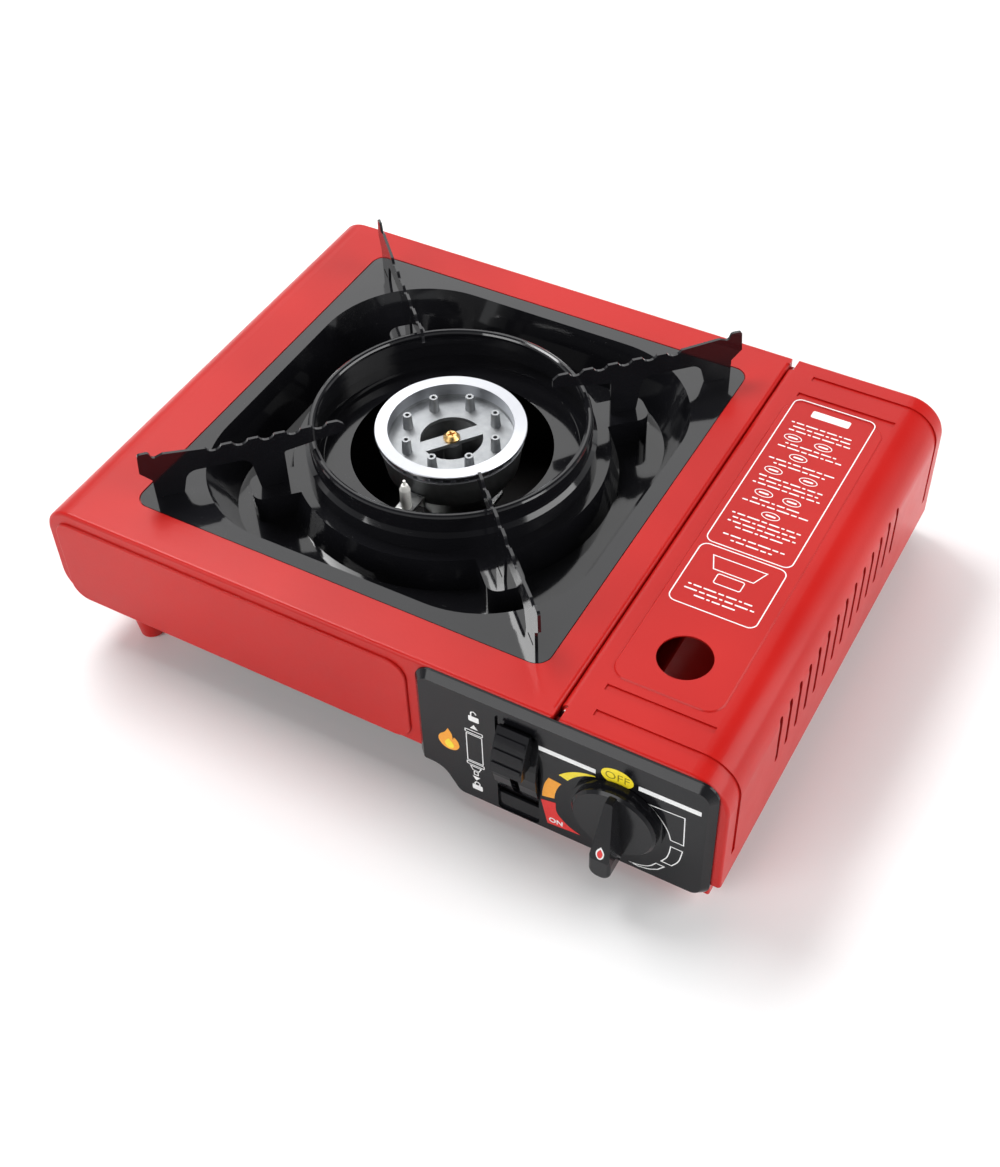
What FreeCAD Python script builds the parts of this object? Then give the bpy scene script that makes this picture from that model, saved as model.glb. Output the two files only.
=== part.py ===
import FreeCAD, Part
import math
import os
import Sketcher

# Table-top stove for a butane cartridge, in millimetres.
# X runs to the right along the front, Y to the back and Z up; the feet stand on Z = 0.
# The origin is under the middle of the stove's box, the knob included.

SIZES = {
    # Casing
    "body_width": 343.0,            # left wall to the lid's outer wall
    "body_depth": 254.5,            # front cap to rear cap
    "top_height": 83.6,             # ground to the top sheet
    "skirt_height": 25.0,           # ground to the bottom of the burner side
    "bay_height": 6.6,              # ground to the bottom of the cartridge side
    "sheet": 0.9,                   # painted sheet steel
    "seam_bend": 2.0,
    "pan_bend": 4.0,
    "floor_vent_from_left": 70.0,
    "floor_vent_from_front": 40.0,
    "floor_vent_length": 34.0,
    "floor_vent_width": 5.0,
    "floor_vent_pitch": 14.0,
    "floor_vent_count": 4,
    "cap_depth": 5.0,               # rim of the front and rear caps
    "cap_edge": 1.8,                # rounding of the caps' edges
    "corner_top": 15.0,             # upper left corner of the casing
    "corner_bottom": 17.0,          # lower left corner of the casing
    "seam_from_left": 264.3,        # where the top sheet ends and the lid begins
    "seam_flange": 8.0,             # top sheet folded down along the seam
    "bay_step_from_left": 222.0,    # where the floor steps down to the cartridge side
    "return_width": 60.0,           # casing folded under at the left
    "emboss_height": 1.2,           # raised field of the caps
    "emboss_margin": 5.2,
    "emboss_drop": 6.5,             # top sheet to the raised field
    "emboss_corner": 9.0,
    "front_overhang": 21.5,         # knob ahead of the front cap
    "play": 0.3,                    # gap between pieces that move past each other
    "pivot_play": 0.05,             # radial clearance of pins in their holes
    # Tray and ring
    "tray_side": 212.5,
    "tray_from_left": 142.9,        # burner's axis
    "tray_from_front": 128.0,
    "tray_corner": 7.0,
    "tray_sheet": 0.8,
    "tray_gap": 0.5,                # round the tray in its recess
    "recess_depth": 1.0,
    "bowl_half": 98.5,
    "bowl_corner": 55.0,
    "bowl_floor_half": 88.0,
    "bowl_floor_corner": 48.0,
    "bowl_depth": 22.4,             # flange to the bowl's floor
    "opening_gap": 2.0,             # round the bowl in the top sheet
    "hill_drop": 7.4,               # flange to the shoulder round the burner
    "hill_radius": 75.5,
    "hill_foot": 80.0,
    "burner_hole": 48.6,
    "lobe_reach": 97.0,
    "lobe_width": 18.0,
    "lobe_corner": 6.0,
    "ring_radius": 67.0,
    "ring_foot": 69.0,
    "ring_foot_width": 8.0,
    "ring_height": 18.9,
    "ring_bead": 1.8,
    # Pan supports
    "support_sheet": 1.4,
    "support_inner": 50.0,
    "support_outer": 145.0,
    "support_top": 81.6,            # above the skirt
    "hook_top": 85.5,               # above the skirt
    "outer_leg": 133.5,             # middle of the outer leg, from the burner's axis
    "inner_leg": 85.5,
    "leg_width": 13.0,
    "tab_width": 7.0,
    "tab_length": 3.0,
    "tab_play": 0.2,
    "notch_pitch": 12.2,
    "notch_radius": 4.0,
    "notch_start": 61.5,
    "notch_depth": 2.4,
    "notch_count": 5,
    "support_arch": 70.3,           # above the skirt
    "support_nose": 5.0,
    "nick": 1.5,
    "hook_width": 6.0,
    "hook_rise": 1.8,
    "hook_bottom": 71.0,            # above the skirt
    # Burner
    "head_radius": 36.2,
    "head_top": 64.4,               # above the skirt
    "head_bore": 30.0,
    "head_depth": 8.0,
    "slot_count": 36,
    "slot_width": 2.2,
    "slot_height": 2.6,
    "post_count": 8,
    "post_circle": 22.6,
    "post_radius": 2.5,
    "post_bore": 1.0,
    "centre_hole": 15.0,
    "bridge_width": 7.0,
    "bridge_angle": 52.0,
    "cup_radius": 32.0,
    "cup_rim": 34.6,
    "burner_wall": 2.2,
    "mixing_height": 9.7,           # axis above the skirt
    "mixing_radius": 6.5,
    "mixing_bore": 5.0,
    "mixing_length": 154.0,
    "mixing_room": 3.4,             # round the tube in the bulkhead
    "mixing_target_from_front": 24.0,   # where the tube's line meets the valve's axis
    "chamber_radius": 16.0,
    "cup_top": 58.4,                # above the skirt
    "cup_shoulder": 43.0,           # above the skirt
    "rim_height": 1.8,
    "rim_lip": 1.4,
    "slot_depth": 2.0,
    "post_taper": 0.5,
    "post_boss": 4.5,
    "head_floor": 2.0,
    "head_screw": 2.0,
    "screw_length": 9.0,
    "fixing": 1.5,                  # radius of the small screws
    "stand_sheet": 1.2,
    "stand_ear": 12.0,
    "electrode_reach": 42.3,
    "electrode_radius": 2.6,
    "electrode_low": 34.0,          # above the skirt
    "electrode_high": 61.5,         # above the skirt
    "electrode_step": 6.0,
    "wire_radius": 0.7,
    "clip_height": 48.0,            # above the skirt
    "clip_sheet": 1.2,
    "clip_drop": 6.0,
    "jet_gap": 2.5,
    "jet_bore": 0.4,
    "jet_radius": 3.0,
    "jet_length": 9.0,
    # Knob and valve
    "knob_from_left": 297.3,
    "knob_height": 18.7,            # above the skirt
    "knob_radius": 20.9,
    "knob_disc": 5.6,
    "knob_gap": 0.4,
    "spindle_radius": 4.0,
    "cam_low": 9.0,
    "cam_rise": 5.0,
    "cam_turn": 150.0,              # degrees from off to full
    "cam_thickness": 4.0,
    "cam_gap": 0.5,
    "valve_face": 8.6,              # front of the valve body behind the front cap
    "valve_radius": 16.0,
    "gland_radius": 9.0,
    "valve_flange": 4.0,
    "flange_radius": 18.4,
    "spindle_seat": 12.0,
    "socket_length": 7.0,
    "drum_radius": 11.0,
    "drum_length": 1.5,
    "outlet_radius": 5.0,
    "outlet_length": 14.0,
    "regulator_radius": 13.0,
    "regulator_thick": 6.0,
    "regulator_from_front": 26.0,
    "stop_sheet": 1.2,
    "stop_height": 42.0,            # above the skirt
    "stop_foot": 10.0,
    "tab_half": 6.0,
    "cradle_start": 25.0,
    "cradle_end": 30.0,
    "cradle_depth": 0.72,           # share of the radius
    "stop_from_front": 45.0,        # plate that the cartridge is pressed against
    "socket_radius": 10.5,
    # Lever and pusher
    "lever_from_left": 250.0,
    "lever_pivot_depth": 35.0,
    "lever_pivot_height": 20.0,     # above the skirt
    "lever_rest": 21.0,             # degrees above level when unlocked
    "lever_turn": 42.0,             # degrees down to locked
    "track_radius": 42.5,
    "track_wall": 2.0,
    "track_half": 34.0,             # degrees each way
    "track_width": 20.1,
    "lever_slot": 4.0,
    "window_above": 22.0,           # lever's pivot to the top of its window
    "window_below": 18.0,
    "lever_sheet": 2.5,
    "lever_hub": 5.0,
    "lever_pin": 2.5,
    "crank": 10.5,
    "crank_pin": 2.0,
    "cap_width": 15.0,
    "cap_reach": 7.0,
    "cap_span": 19.0,
    "cap_lip": 26.0,                # degrees that the cap's outer skin spans
    "bar_sheet": 1.5,
    "bar_height": 10.0,
    "hub_length": 8.0,
    "arm_width": 7.0,
    "stud_shoulder": 1.0,
    "ridge": 0.7,
    "guide_first": 90.0,
    "guide_second": 190.0,
    "guide_length": 12.0,
    "pusher_from_back": 14.5,
    "pusher_half": 24.0,
    "piezo_gap": 2.5,
    "piezo_length": 20.0,
    "piezo_half": 4.5,
    "plunger_radius": 2.6,
    "plunger_hold": 6.0,
    "cam_from_front": 5.0,
    # Panel
    "panel_from_left": 200.0,
    "panel_right": 338.8,
    "panel_proud": 4.0,
    "panel_skin": 2.4,
    "channel_depth": 1.2,           # groove that the lever's cap runs in
    "channel_low": -14.0,           # above the skirt
    "channel_high": 51.0,
    "panel_drop": 0.8,              # top sheet to the panel's top edge
    "panel_bottom": -17.5,          # above the skirt
    "panel_chamfer": 3.0,
    "panel_corner": 8.0,
    "sweep_height": -4.0,           # above the skirt
    "sweep_start": 11.0,
    "sweep_end": 19.0,
    "sweep_radius": 7.0,
    "boss_inset": 7.5,
    "knob_edge": 1.2,
    "knob_flange": 2.2,
    "knob_step": 1.6,
    "wing_high": 19.0,
    "wing_low": 23.5,
    "wing_thin": 1.8,               # half the width at the pointer
    "wing_wide": 5.0,               # half the width at the grip
    "wing_slope": 8.0,
    "wing_edge": 1.5,
    # Lid
    "lid_corner": 18.0,
    "lid_lip": 4.5,
    "lid_wall_bottom": -9.2,        # above the skirt
    "curl_radius": 3.0,
    "lid_sheet": 0.8,
    "bead_depth": 0.8,
    "bead_width": 3.4,
    "bead_edge": 0.8,
    "short_bead": 23.0,             # from the front and back edges
    "short_bead_start": 12.0,       # from the seam
    "long_bead": 9.0,
    "long_bead_start": 14.0,
    "long_bead_end": 4.0,           # above the skirt
    "plateau_from_seam": 9.5,
    "plateau_from_front": 31.0,
    "plateau_from_right": 19.5,
    "plateau_corner": 8.0,
    "plateau_height": 0.6,
    "hinge_journal": 1.0,
    "sight_radius": 12.1,           # round window over the cartridge's collar
    "sight_from_left": 298.6,
    "sight_from_front": 53.2,
    "vent_count": 14,
    "vent_pitch": 10.6,
    "vent_first": 52.0,
    "vent_width": 3.2,
    "vent_bottom": 16.0,
    "vent_top": 45.0,
    "foot_radius": 8.5,
    "foot_taper": 2.5,
    "foot_flange": 9.8,
    "ear_from_front": 7.0,
    "ear_sheet": 1.2,
    "ear_tip": 1.9,
    "ear_drop": 16.0,
    "pin_head": 0.8,
    "pin_length": 10.0,
    "foot_from_left": 34.0,
    "foot_from_front": 15.0,
    "foot_right": 25.0,             # from the right wall
}


class Size:
    """A size: its number, and the sheet formula that the model is bound to."""

    def __init__(self, number, formula):
        self.number = number
        self.formula = formula

    def __float__(self):
        return float(self.number)

    def __add__(self, other):
        return Size(self.number + float(other), "(%s + %s)" % (self.formula, formula(other)))

    def __radd__(self, other):
        return Size(float(other) + self.number, "(%s + %s)" % (formula(other), self.formula))

    def __sub__(self, other):
        return Size(self.number - float(other), "(%s - %s)" % (self.formula, formula(other)))

    def __rsub__(self, other):
        return Size(float(other) - self.number, "(%s - %s)" % (formula(other), self.formula))

    def __mul__(self, other):
        return Size(self.number * float(other), "(%s * %s)" % (self.formula, formula(other)))

    def __rmul__(self, other):
        return Size(float(other) * self.number, "(%s * %s)" % (formula(other), self.formula))

    def __truediv__(self, other):
        return Size(self.number / float(other), "(%s / %s)" % (self.formula, formula(other)))

    def __neg__(self):
        return Size(-self.number, "(-%s)" % self.formula)


def formula(value):
    """The text that the sheet's language understands."""
    return value.formula if isinstance(value, Size) else repr(float(value))


def sine(degrees):
    """Sine of an angle of the sheet."""
    return Size(math.sin(math.radians(float(degrees))), "sin(%s * 1deg)" % formula(degrees))


def cosine(degrees):
    """Cosine of an angle of the sheet."""
    return Size(math.cos(math.radians(float(degrees))), "cos(%s * 1deg)" % formula(degrees))


def arc_tangent(rise, run):
    """Angle in degrees of a slope of the sheet."""
    number = math.degrees(math.atan2(float(rise), float(run)))
    return Size(number, "(atan(%s / %s) / 1deg)" % (formula(rise), formula(run)))


class Sheet:
    """The sizes by name, each tied to its cell."""


def write_sheet(doc):
    """Put every size in a cell of its own and return the named sizes."""
    cells = doc.addObject("Spreadsheet::Sheet", "Sizes")
    named = Sheet()
    for row, (name, number) in enumerate(SIZES.items(), 1):
        cells.set("A%d" % row, name.replace("_", " "))
        cells.set("B%d" % row, str(number))
        cells.setAlias("B%d" % row, name)
        setattr(named, name, Size(number, "Sizes." + name))
    return named


doc = FreeCAD.newDocument("CartridgeStove")
s = write_sheet(doc)
doc.recompute()
nodes = []

# Shared places
left = -s.body_width / 2
right = s.body_width / 2
front = (s.front_overhang - s.emboss_height - s.body_depth) / 2
back = front + s.body_depth
top = s.top_height
skirt = s.skirt_height
bay = s.bay_height
seam = left + s.seam_from_left
burner_x = left + s.tray_from_left
burner_y = front + s.tray_from_front
knob_x = left + s.knob_from_left
knob_z = skirt + s.knob_height
bay_floor = bay + s.sheet * 2
bulkhead_x = seam - s.seam_flange / 2 - s.sheet
cap_right = right - s.lid_lip - s.play
ledge = top - s.lid_lip - s.play
flange_top = top - s.recess_depth + s.tray_sheet
shoulder = flange_top - s.hill_drop
hinge_x = seam + s.play + s.curl_radius
hinge_z = top - s.curl_radius
pivot_x = left + s.lever_from_left
pivot_y = front + s.lever_pivot_depth
pivot_z = skirt + s.lever_pivot_height
stop_y = front + s.stop_from_front
burner_seat = skirt + s.sheet * 2 + s.stand_sheet
head_floor = skirt + s.head_top - s.head_depth - s.head_floor
mixing_z = skirt + s.mixing_height
mixing_run = s.knob_from_left - s.tray_from_left
mixing_fall = s.mixing_target_from_front - s.tray_from_front
mixing_turn = arc_tangent(mixing_fall, mixing_run)
hub_right = pivot_x + s.hub_length / 2
bar_x = hub_right + s.sheet
bar_z = pivot_z + s.crank - s.play
pusher_y = back - s.pusher_from_back
pusher_travel = s.crank * sine(s.lever_turn / 2) * 2
cam_y = front + s.cam_from_front
DIAGONAL = math.sqrt(0.5)
DIAGONAL_TURN = 45.0


def mixing_y(x):
    """Where the mixing tube's axis passes a place across the stove."""
    return burner_y + mixing_fall * (x - burner_x) / mixing_run


def bind(thing, name, value):
    """Tie a property to the sheet."""
    thing.setExpression(name, formula(value))


def body(label):
    """A new sub-part made of sketched features."""
    made = doc.addObject("PartDesign::Body", label)
    made.Label = label
    nodes.append(made)
    return made


def lock(sketch, shape, point, across, up):
    """Fix a sketch point at a place from the sketch's origin."""
    for kind, value in (("DistanceX", across), ("DistanceY", up)):
        index = sketch.addConstraint(Sketcher.Constraint(kind, -1, 1, shape, point, float(value)))
        bind(sketch, "Constraints[%d]" % index, value)


def circle(sketch, across, up, radius):
    """A full circle."""
    centre = FreeCAD.Vector(float(across), float(up), 0)
    shape = sketch.addGeometry(Part.Circle(centre, FreeCAD.Vector(0, 0, 1), float(radius)))
    lock(sketch, shape, 3, across, up)
    index = sketch.addConstraint(Sketcher.Constraint("Radius", shape, float(radius)))
    bind(sketch, "Constraints[%d]" % index, radius)


def corner_arc(before, at, after, radius):
    """The arc that rounds a corner, and which of its ends comes first."""
    to_before = (before - at).normalize()
    to_after = (after - at).normalize()
    half = to_before.getAngle(to_after) / 2
    reach = radius / math.tan(half)
    centre = at + (to_before + to_after).normalize() * (radius / math.sin(half))
    first = at + to_before * reach
    last = at + to_after * reach
    turn = (at - before).cross(after - at).z
    start, end = (first, last) if turn > 0 else (last, first)
    begin = math.atan2(start.y - centre.y, start.x - centre.x)
    finish = math.atan2(end.y - centre.y, end.x - centre.x)
    arc = Part.ArcOfCircle(Part.Circle(centre, FreeCAD.Vector(0, 0, 1), radius), begin, finish)
    return arc, first, last, (1, 2) if turn > 0 else (2, 1)


def outline(sketch, points):
    """A closed line through points (across, up) or, with a rounded corner, (across, up, radius)."""
    places = [FreeCAD.Vector(float(p[0]), float(p[1]), 0) for p in points]
    count = len(points)
    arcs = {}
    for i, point in enumerate(points):
        if len(point) == 3:
            arcs[i] = corner_arc(places[i - 1], places[i], places[(i + 1) % count], float(point[2]))
    lines = []
    for i in range(count):
        after = (i + 1) % count
        start = arcs[i][2] if i in arcs else places[i]
        end = arcs[after][1] if after in arcs else places[after]
        lines.append(sketch.addGeometry(Part.LineSegment(start, end)))
    for i, point in enumerate(points):
        into = lines[i - 1]
        out = lines[i]
        if i not in arcs:
            sketch.addConstraint(Sketcher.Constraint("Coincident", into, 2, out, 1))
            lock(sketch, out, 1, point[0], point[1])
            continue
        arc, _, _, (first_end, last_end) = arcs[i]
        bend = sketch.addGeometry(arc)
        tip = sketch.addGeometry(Part.Point(places[i]), True)
        sketch.addConstraint(Sketcher.Constraint("Tangent", into, 2, bend, first_end))
        sketch.addConstraint(Sketcher.Constraint("Tangent", out, 1, bend, last_end))
        sketch.addConstraint(Sketcher.Constraint("PointOnObject", tip, 1, into))
        sketch.addConstraint(Sketcher.Constraint("PointOnObject", tip, 1, out))
        lock(sketch, tip, 1, point[0], point[1])
        index = sketch.addConstraint(Sketcher.Constraint("Radius", bend, float(point[2])))
        bind(sketch, "Constraints[%d]" % index, point[2])


ROLES = {"x": "YZ_Plane", "y": "XZ_Plane", "z": "XY_Plane"}


def sketch_on(owner, axis, place, loops):
    """A sketch square to an axis at a place on it; a loop is a list of points or a circle's tuple."""
    plane = [p for p in owner.Origin.OriginFeatures if p.Role == ROLES[axis]][0]
    sketch = owner.newObject("Sketcher::SketchObject", owner.Name + "_sketch")
    sketch.AttachmentSupport = [(plane, "")]
    sketch.MapMode = "FlatFace"
    bind(sketch, "AttachmentOffset.Base.z", -place if axis == "y" else place)
    for loop in loops:
        if isinstance(loop, tuple):
            circle(sketch, *loop)
        else:
            outline(sketch, loop)
    return sketch


def checked(feature, solid_grows, owner, before):
    """Recompute and make sure that the feature did its work."""
    doc.recompute()
    change = owner.Shape.Volume - before
    if change == 0 or (change > 0) != solid_grows:
        raise RuntimeError("%s changed nothing in %s" % (feature.Name, owner.Label))
    return feature


def volume(owner):
    """Volume of a body that may still be empty."""
    return 0.0 if owner.Shape.isNull() else owner.Shape.Volume


def pad(owner, axis, start, end, *loops):
    """Solid between two places on an axis."""
    before = volume(owner)
    feature = owner.newObject("PartDesign::Pad", owner.Name + "_pad")
    feature.Profile = sketch_on(owner, axis, start, loops)
    feature.Reversed = axis == "y"
    bind(feature, "Length", end - start)
    return checked(feature, True, owner, before)


def pocket(owner, axis, start, end, *loops):
    """Hollow between two places on an axis."""
    before = volume(owner)
    feature = owner.newObject("PartDesign::Pocket", owner.Name + "_pocket")
    feature.Profile = sketch_on(owner, axis, start, loops)
    feature.Reversed = axis != "y"
    bind(feature, "Length", end - start)
    return checked(feature, False, owner, before)


def turned(owner, kind, loop, at, axis="z", turn=0.0):
    """Revolution or groove of a loop (distance from the axis, place along it) about an axis through a point."""
    before = volume(owner)
    feature = owner.newObject("PartDesign::" + kind, owner.Name + "_turned")
    if axis == "x" and isinstance(loop, list):
        loop = [(point[1], point[0]) + tuple(point[2:]) for point in loop]
    sketch = sketch_on(owner, "y" if axis == "z" else "z", 0.0, [loop])
    across, up, out = (at[0], at[2], -at[1]) if axis == "z" else at
    spin = FreeCAD.Rotation(FreeCAD.Vector(0, 0, 1), float(turn))
    sketch.AttachmentOffset = FreeCAD.Placement(FreeCAD.Vector(0, 0, 0), spin)
    bind(sketch, "AttachmentOffset.Base.x", across)
    bind(sketch, "AttachmentOffset.Base.y", up)
    bind(sketch, "AttachmentOffset.Base.z", out)
    feature.Profile = sketch
    feature.ReferenceAxis = (sketch, ["H_Axis" if axis == "x" else "V_Axis"])
    feature.Angle = 360
    return checked(feature, kind == "Revolution", owner, before)


def loft(owner, kind, low, low_loop, high, high_loop):
    """Solid or hollow between two outlines at two heights."""
    before = volume(owner)
    first = sketch_on(owner, "z", low, [low_loop])
    second = sketch_on(owner, "z", high, [high_loop])
    feature = owner.newObject("PartDesign::" + kind, owner.Name + "_loft")
    feature.Profile = first
    feature.Sections = [(second, [""])]
    return checked(feature, kind == "AdditiveLoft", owner, before)


def around(owner, features, count):
    """Repeat features about the body's own upright axis."""
    feature = owner.newObject("PartDesign::PolarPattern", owner.Name + "_round")
    feature.Originals = features
    feature.Axis = ([p for p in owner.Origin.OriginFeatures if p.Role == "Z_Axis"][0], [""])
    feature.Angle = 360
    bind(feature, "Occurrences", count)
    owner.Tip = feature
    doc.recompute()
    return feature


def along(owner, features, role, length, count):
    """Repeat features in a row along an axis; length is from the first to the last."""
    feature = owner.newObject("PartDesign::LinearPattern", owner.Name + "_row")
    feature.Originals = features
    feature.Direction = ([p for p in owner.Origin.OriginFeatures if p.Role == role][0], [""])
    bind(feature, "Length", length)
    bind(feature, "Occurrences", count)
    owner.Tip = feature
    doc.recompute()
    return feature


def edges_where(owner, test):
    """Names of a body's edges whose every point passes a test."""
    found = []
    for i, edge in enumerate(owner.Shape.Edges, 1):
        low, high = edge.ParameterRange
        points = [edge.valueAt(low + (high - low) * part) for part in (0.02, 0.5, 0.98)]
        if all(test(p) for p in points):
            found.append("Edge%d" % i)
    return found


def soften(owner, kind, size, test):
    """Fillet or Chamfer on the edges that pass a test."""
    names = edges_where(owner, test)
    base = owner.Tip
    feature = owner.newObject("PartDesign::" + kind, owner.Name + "_edge")
    feature.Base = (base, names)
    bind(feature, "Radius" if kind == "Fillet" else "Size", size)
    owner.Tip = feature
    doc.recompute()
    return feature


def move(thing, x, y, z, turn=0.0, axis=FreeCAD.Vector(0, 0, 1)):
    """Place a sub-part; the turn is in degrees."""
    thing.Placement = FreeCAD.Placement(FreeCAD.Vector(0, 0, 0), FreeCAD.Rotation(axis, float(turn)))
    bind(thing, "Placement.Base.x", x)
    bind(thing, "Placement.Base.y", y)
    bind(thing, "Placement.Base.z", z)


def rectangle(x0, y0, x1, y1, radius=None):
    """Four corners, rounded if a radius is given."""
    points = [(x0, y0), (x1, y0), (x1, y1), (x0, y1)]
    return points if radius is None else [(x, y, radius) for x, y in points]


def square(half, radius, x=0.0, y=0.0):
    """A rounded square about a point."""
    return rectangle(x - half, y - half, x + half, y + half, radius)


def build_all():
    """Every sub-part in turn."""
    front_openings(end_cap("front_plate", front, 1))
    end_cap("rear_plate", back, -1)
    makers = (
        top_shell, base_pan, feet, bulkhead, hinge_pins, drip_tray, wind_ring, pan_supports,
        burner_body, burner_head, burner_screw, burner_stand, stand_screws, igniter_electrode,
        electrode_clip, valve_body, regulator_cap, gas_jet, stop_plate, cartridge_cradle,
        lever_stud, lever_arm, lever_cap, pusher_bar, bar_guides, pusher_plate, piezo_unit,
        piezo_plunger, igniter_cam, valve_spindle, knob, control_panel, panel_screws, lid,
    )
    for make in makers:
        make()


def cap_outline(inset):
    """Outline of the end caps, seen from the front, drawn in by an inset."""
    step = left + s.bay_step_from_left
    return [
        (left + inset, top - inset, s.corner_top - inset),
        (left + inset, skirt + inset, s.corner_bottom - inset),
        (step + inset, skirt + inset),
        (step + inset, bay + inset),
        (cap_right - inset, bay + inset),
        (cap_right - inset, ledge - inset, s.lid_corner - s.lid_lip - s.play - inset),
        (seam - inset, ledge - inset),
        (seam - inset, top - inset),
    ]


def raised_field(inset):
    """Outline of the caps' raised field."""
    return rectangle(
        left + s.emboss_margin + inset,
        skirt + s.sheet * 2 + inset,
        left + s.panel_from_left - s.emboss_margin - inset,
        top - s.emboss_drop - inset,
        s.emboss_corner - inset,
    )


def between(owner, action, axis, one, other, *loops):
    """Pad or pocket between two places given in either order."""
    low, high = (one, other) if float(one) < float(other) else (other, one)
    return action(owner, axis, low, high, *loops)


def end_cap(label, face, way):
    """Dished end plate of the casing with a raised field; way points into the stove."""
    part = body(label)
    between(part, pad, "y", face, face + s.cap_depth * way, cap_outline(0.0))
    face_y = float(face)
    soften(part, "Fillet", s.cap_edge, lambda p: abs(p.y - face_y) < 0.01)
    between(part, pad, "y", face - s.emboss_height * way, face + s.sheet * way, raised_field(0.0))
    raised_y = float(face - s.emboss_height * way)
    soften(part, "Fillet", s.sheet, lambda p: abs(p.y - raised_y) < 0.01)
    inner = face + s.sheet * way
    between(part, pocket, "y", inner, face + (s.cap_depth + 1.0) * way, cap_outline(s.sheet))
    between(part, pocket, "y", inner - s.emboss_height * way, inner + 1.0 * way, raised_field(s.sheet))
    return part


def front_openings(part):
    """Holes of the front cap for the spindle, the lever and the panel's screws."""
    inner = front + s.sheet
    half = s.hub_length / 2
    window = rectangle(pivot_x - half, pivot_z - s.window_below, pivot_x + half, pivot_z + s.window_above)
    pocket(part, "y", front, inner, window)
    pocket(part, "y", front, inner, (knob_x, knob_z, s.spindle_radius * 1.5))
    pocket(part, "y", front, inner, *[(x, z, s.fixing + s.play) for x, z in panel_bosses()])


def top_shell():
    """Sheet that makes the top, the left wall and the fold under the left side."""
    part = body("top_shell")
    wall = s.sheet
    flange = top - s.seam_flange
    end = left + s.return_width
    profile = [
        (seam, flange),
        (seam, top, s.seam_bend),
        (left, top, s.corner_top),
        (left, skirt, s.corner_bottom),
        (end, skirt),
        (end, skirt + wall),
        (left + wall, skirt + wall, s.corner_bottom - wall),
        (left + wall, top - wall, s.corner_top - wall),
        (seam - wall, top - wall, s.seam_bend - wall),
        (seam - wall, flange),
    ]
    pad(part, "y", front + s.cap_depth, back - s.cap_depth, profile)
    half = s.tray_side / 2 + s.tray_gap
    corner = s.tray_corner + s.tray_gap
    sunk = top - s.recess_depth
    pad(part, "z", sunk - wall, top - wall, square(half + wall, corner + wall, burner_x, burner_y))
    pocket(part, "z", sunk, top + wall, square(half, corner, burner_x, burner_y))
    opening = square(s.bowl_half + s.opening_gap, s.bowl_corner + s.opening_gap, burner_x, burner_y)
    pocket(part, "z", sunk - wall * 2, top, opening)
    reach = s.outer_leg * DIAGONAL
    holes = [
        (burner_x + reach * across, burner_y + reach * along_y, s.tab_width)
        for across in (-1, 1)
        for along_y in (-1, 1)
    ]
    pocket(part, "z", sunk - wall * 2, top, *holes)


def base_pan():
    """Stamped floor: level under the burner, stepped down under the cartridge."""
    part = body("base_pan")
    wall = s.sheet
    step = left + s.bay_step_from_left + wall
    low = bay + wall
    side = cap_right - wall
    start = left + s.return_width / 2
    profile = [
        (start, skirt + wall),
        (step, skirt + wall),
        (step, low),
        (side, low, s.pan_bend),
        (side, skirt),
        (side - wall, skirt),
        (side - wall, low + wall, s.pan_bend - wall),
        (step + wall, low + wall),
        (step + wall, skirt + wall * 2),
        (start, skirt + wall * 2),
    ]
    pad(part, "y", front + wall, back - wall, profile)
    vent = rectangle(
        left + s.floor_vent_from_left,
        front + s.floor_vent_from_front,
        left + s.floor_vent_from_left + s.floor_vent_length,
        front + s.floor_vent_from_front + s.floor_vent_width,
    )
    holes = [(burner_x, y, s.fixing + s.play) for y in stand_places()]
    pocket(part, "z", skirt, skirt + wall * 3, *holes)
    slot = pocket(part, "z", skirt, skirt + wall * 3, vent)
    along(part, [slot], "Y_Axis", s.floor_vent_pitch * (s.floor_vent_count - 1), s.floor_vent_count)


def foot_places():
    """Where the feet stand: x, y and the height of what they carry."""
    near = front + s.foot_from_front
    far = back - s.foot_from_front
    low = right - s.foot_right
    high = left + s.foot_from_left
    return [(high, near, skirt), (high, far, skirt), (low, near, bay + s.sheet), (low, far, bay + s.sheet)]


def feet():
    """Four domed cups under the casing; the two under the cartridge side are short."""
    part = body("feet")
    wall = s.sheet
    tip = s.foot_radius - s.foot_taper
    for x, y, height in foot_places():
        profile = [
            (0.0, 0.0),
            (tip - s.foot_taper / 2, 0.0),
            (tip, s.foot_taper / 2),
            (s.foot_radius, height - wall),
            (s.foot_flange, height - wall),
            (s.foot_flange, height),
            (s.foot_radius - wall, height),
            (tip - wall, s.foot_taper / 2),
            (tip - s.foot_taper / 2, wall),
            (0.0, wall),
        ]
        turned(part, "Revolution", profile, (x, y, 0.0))


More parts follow.
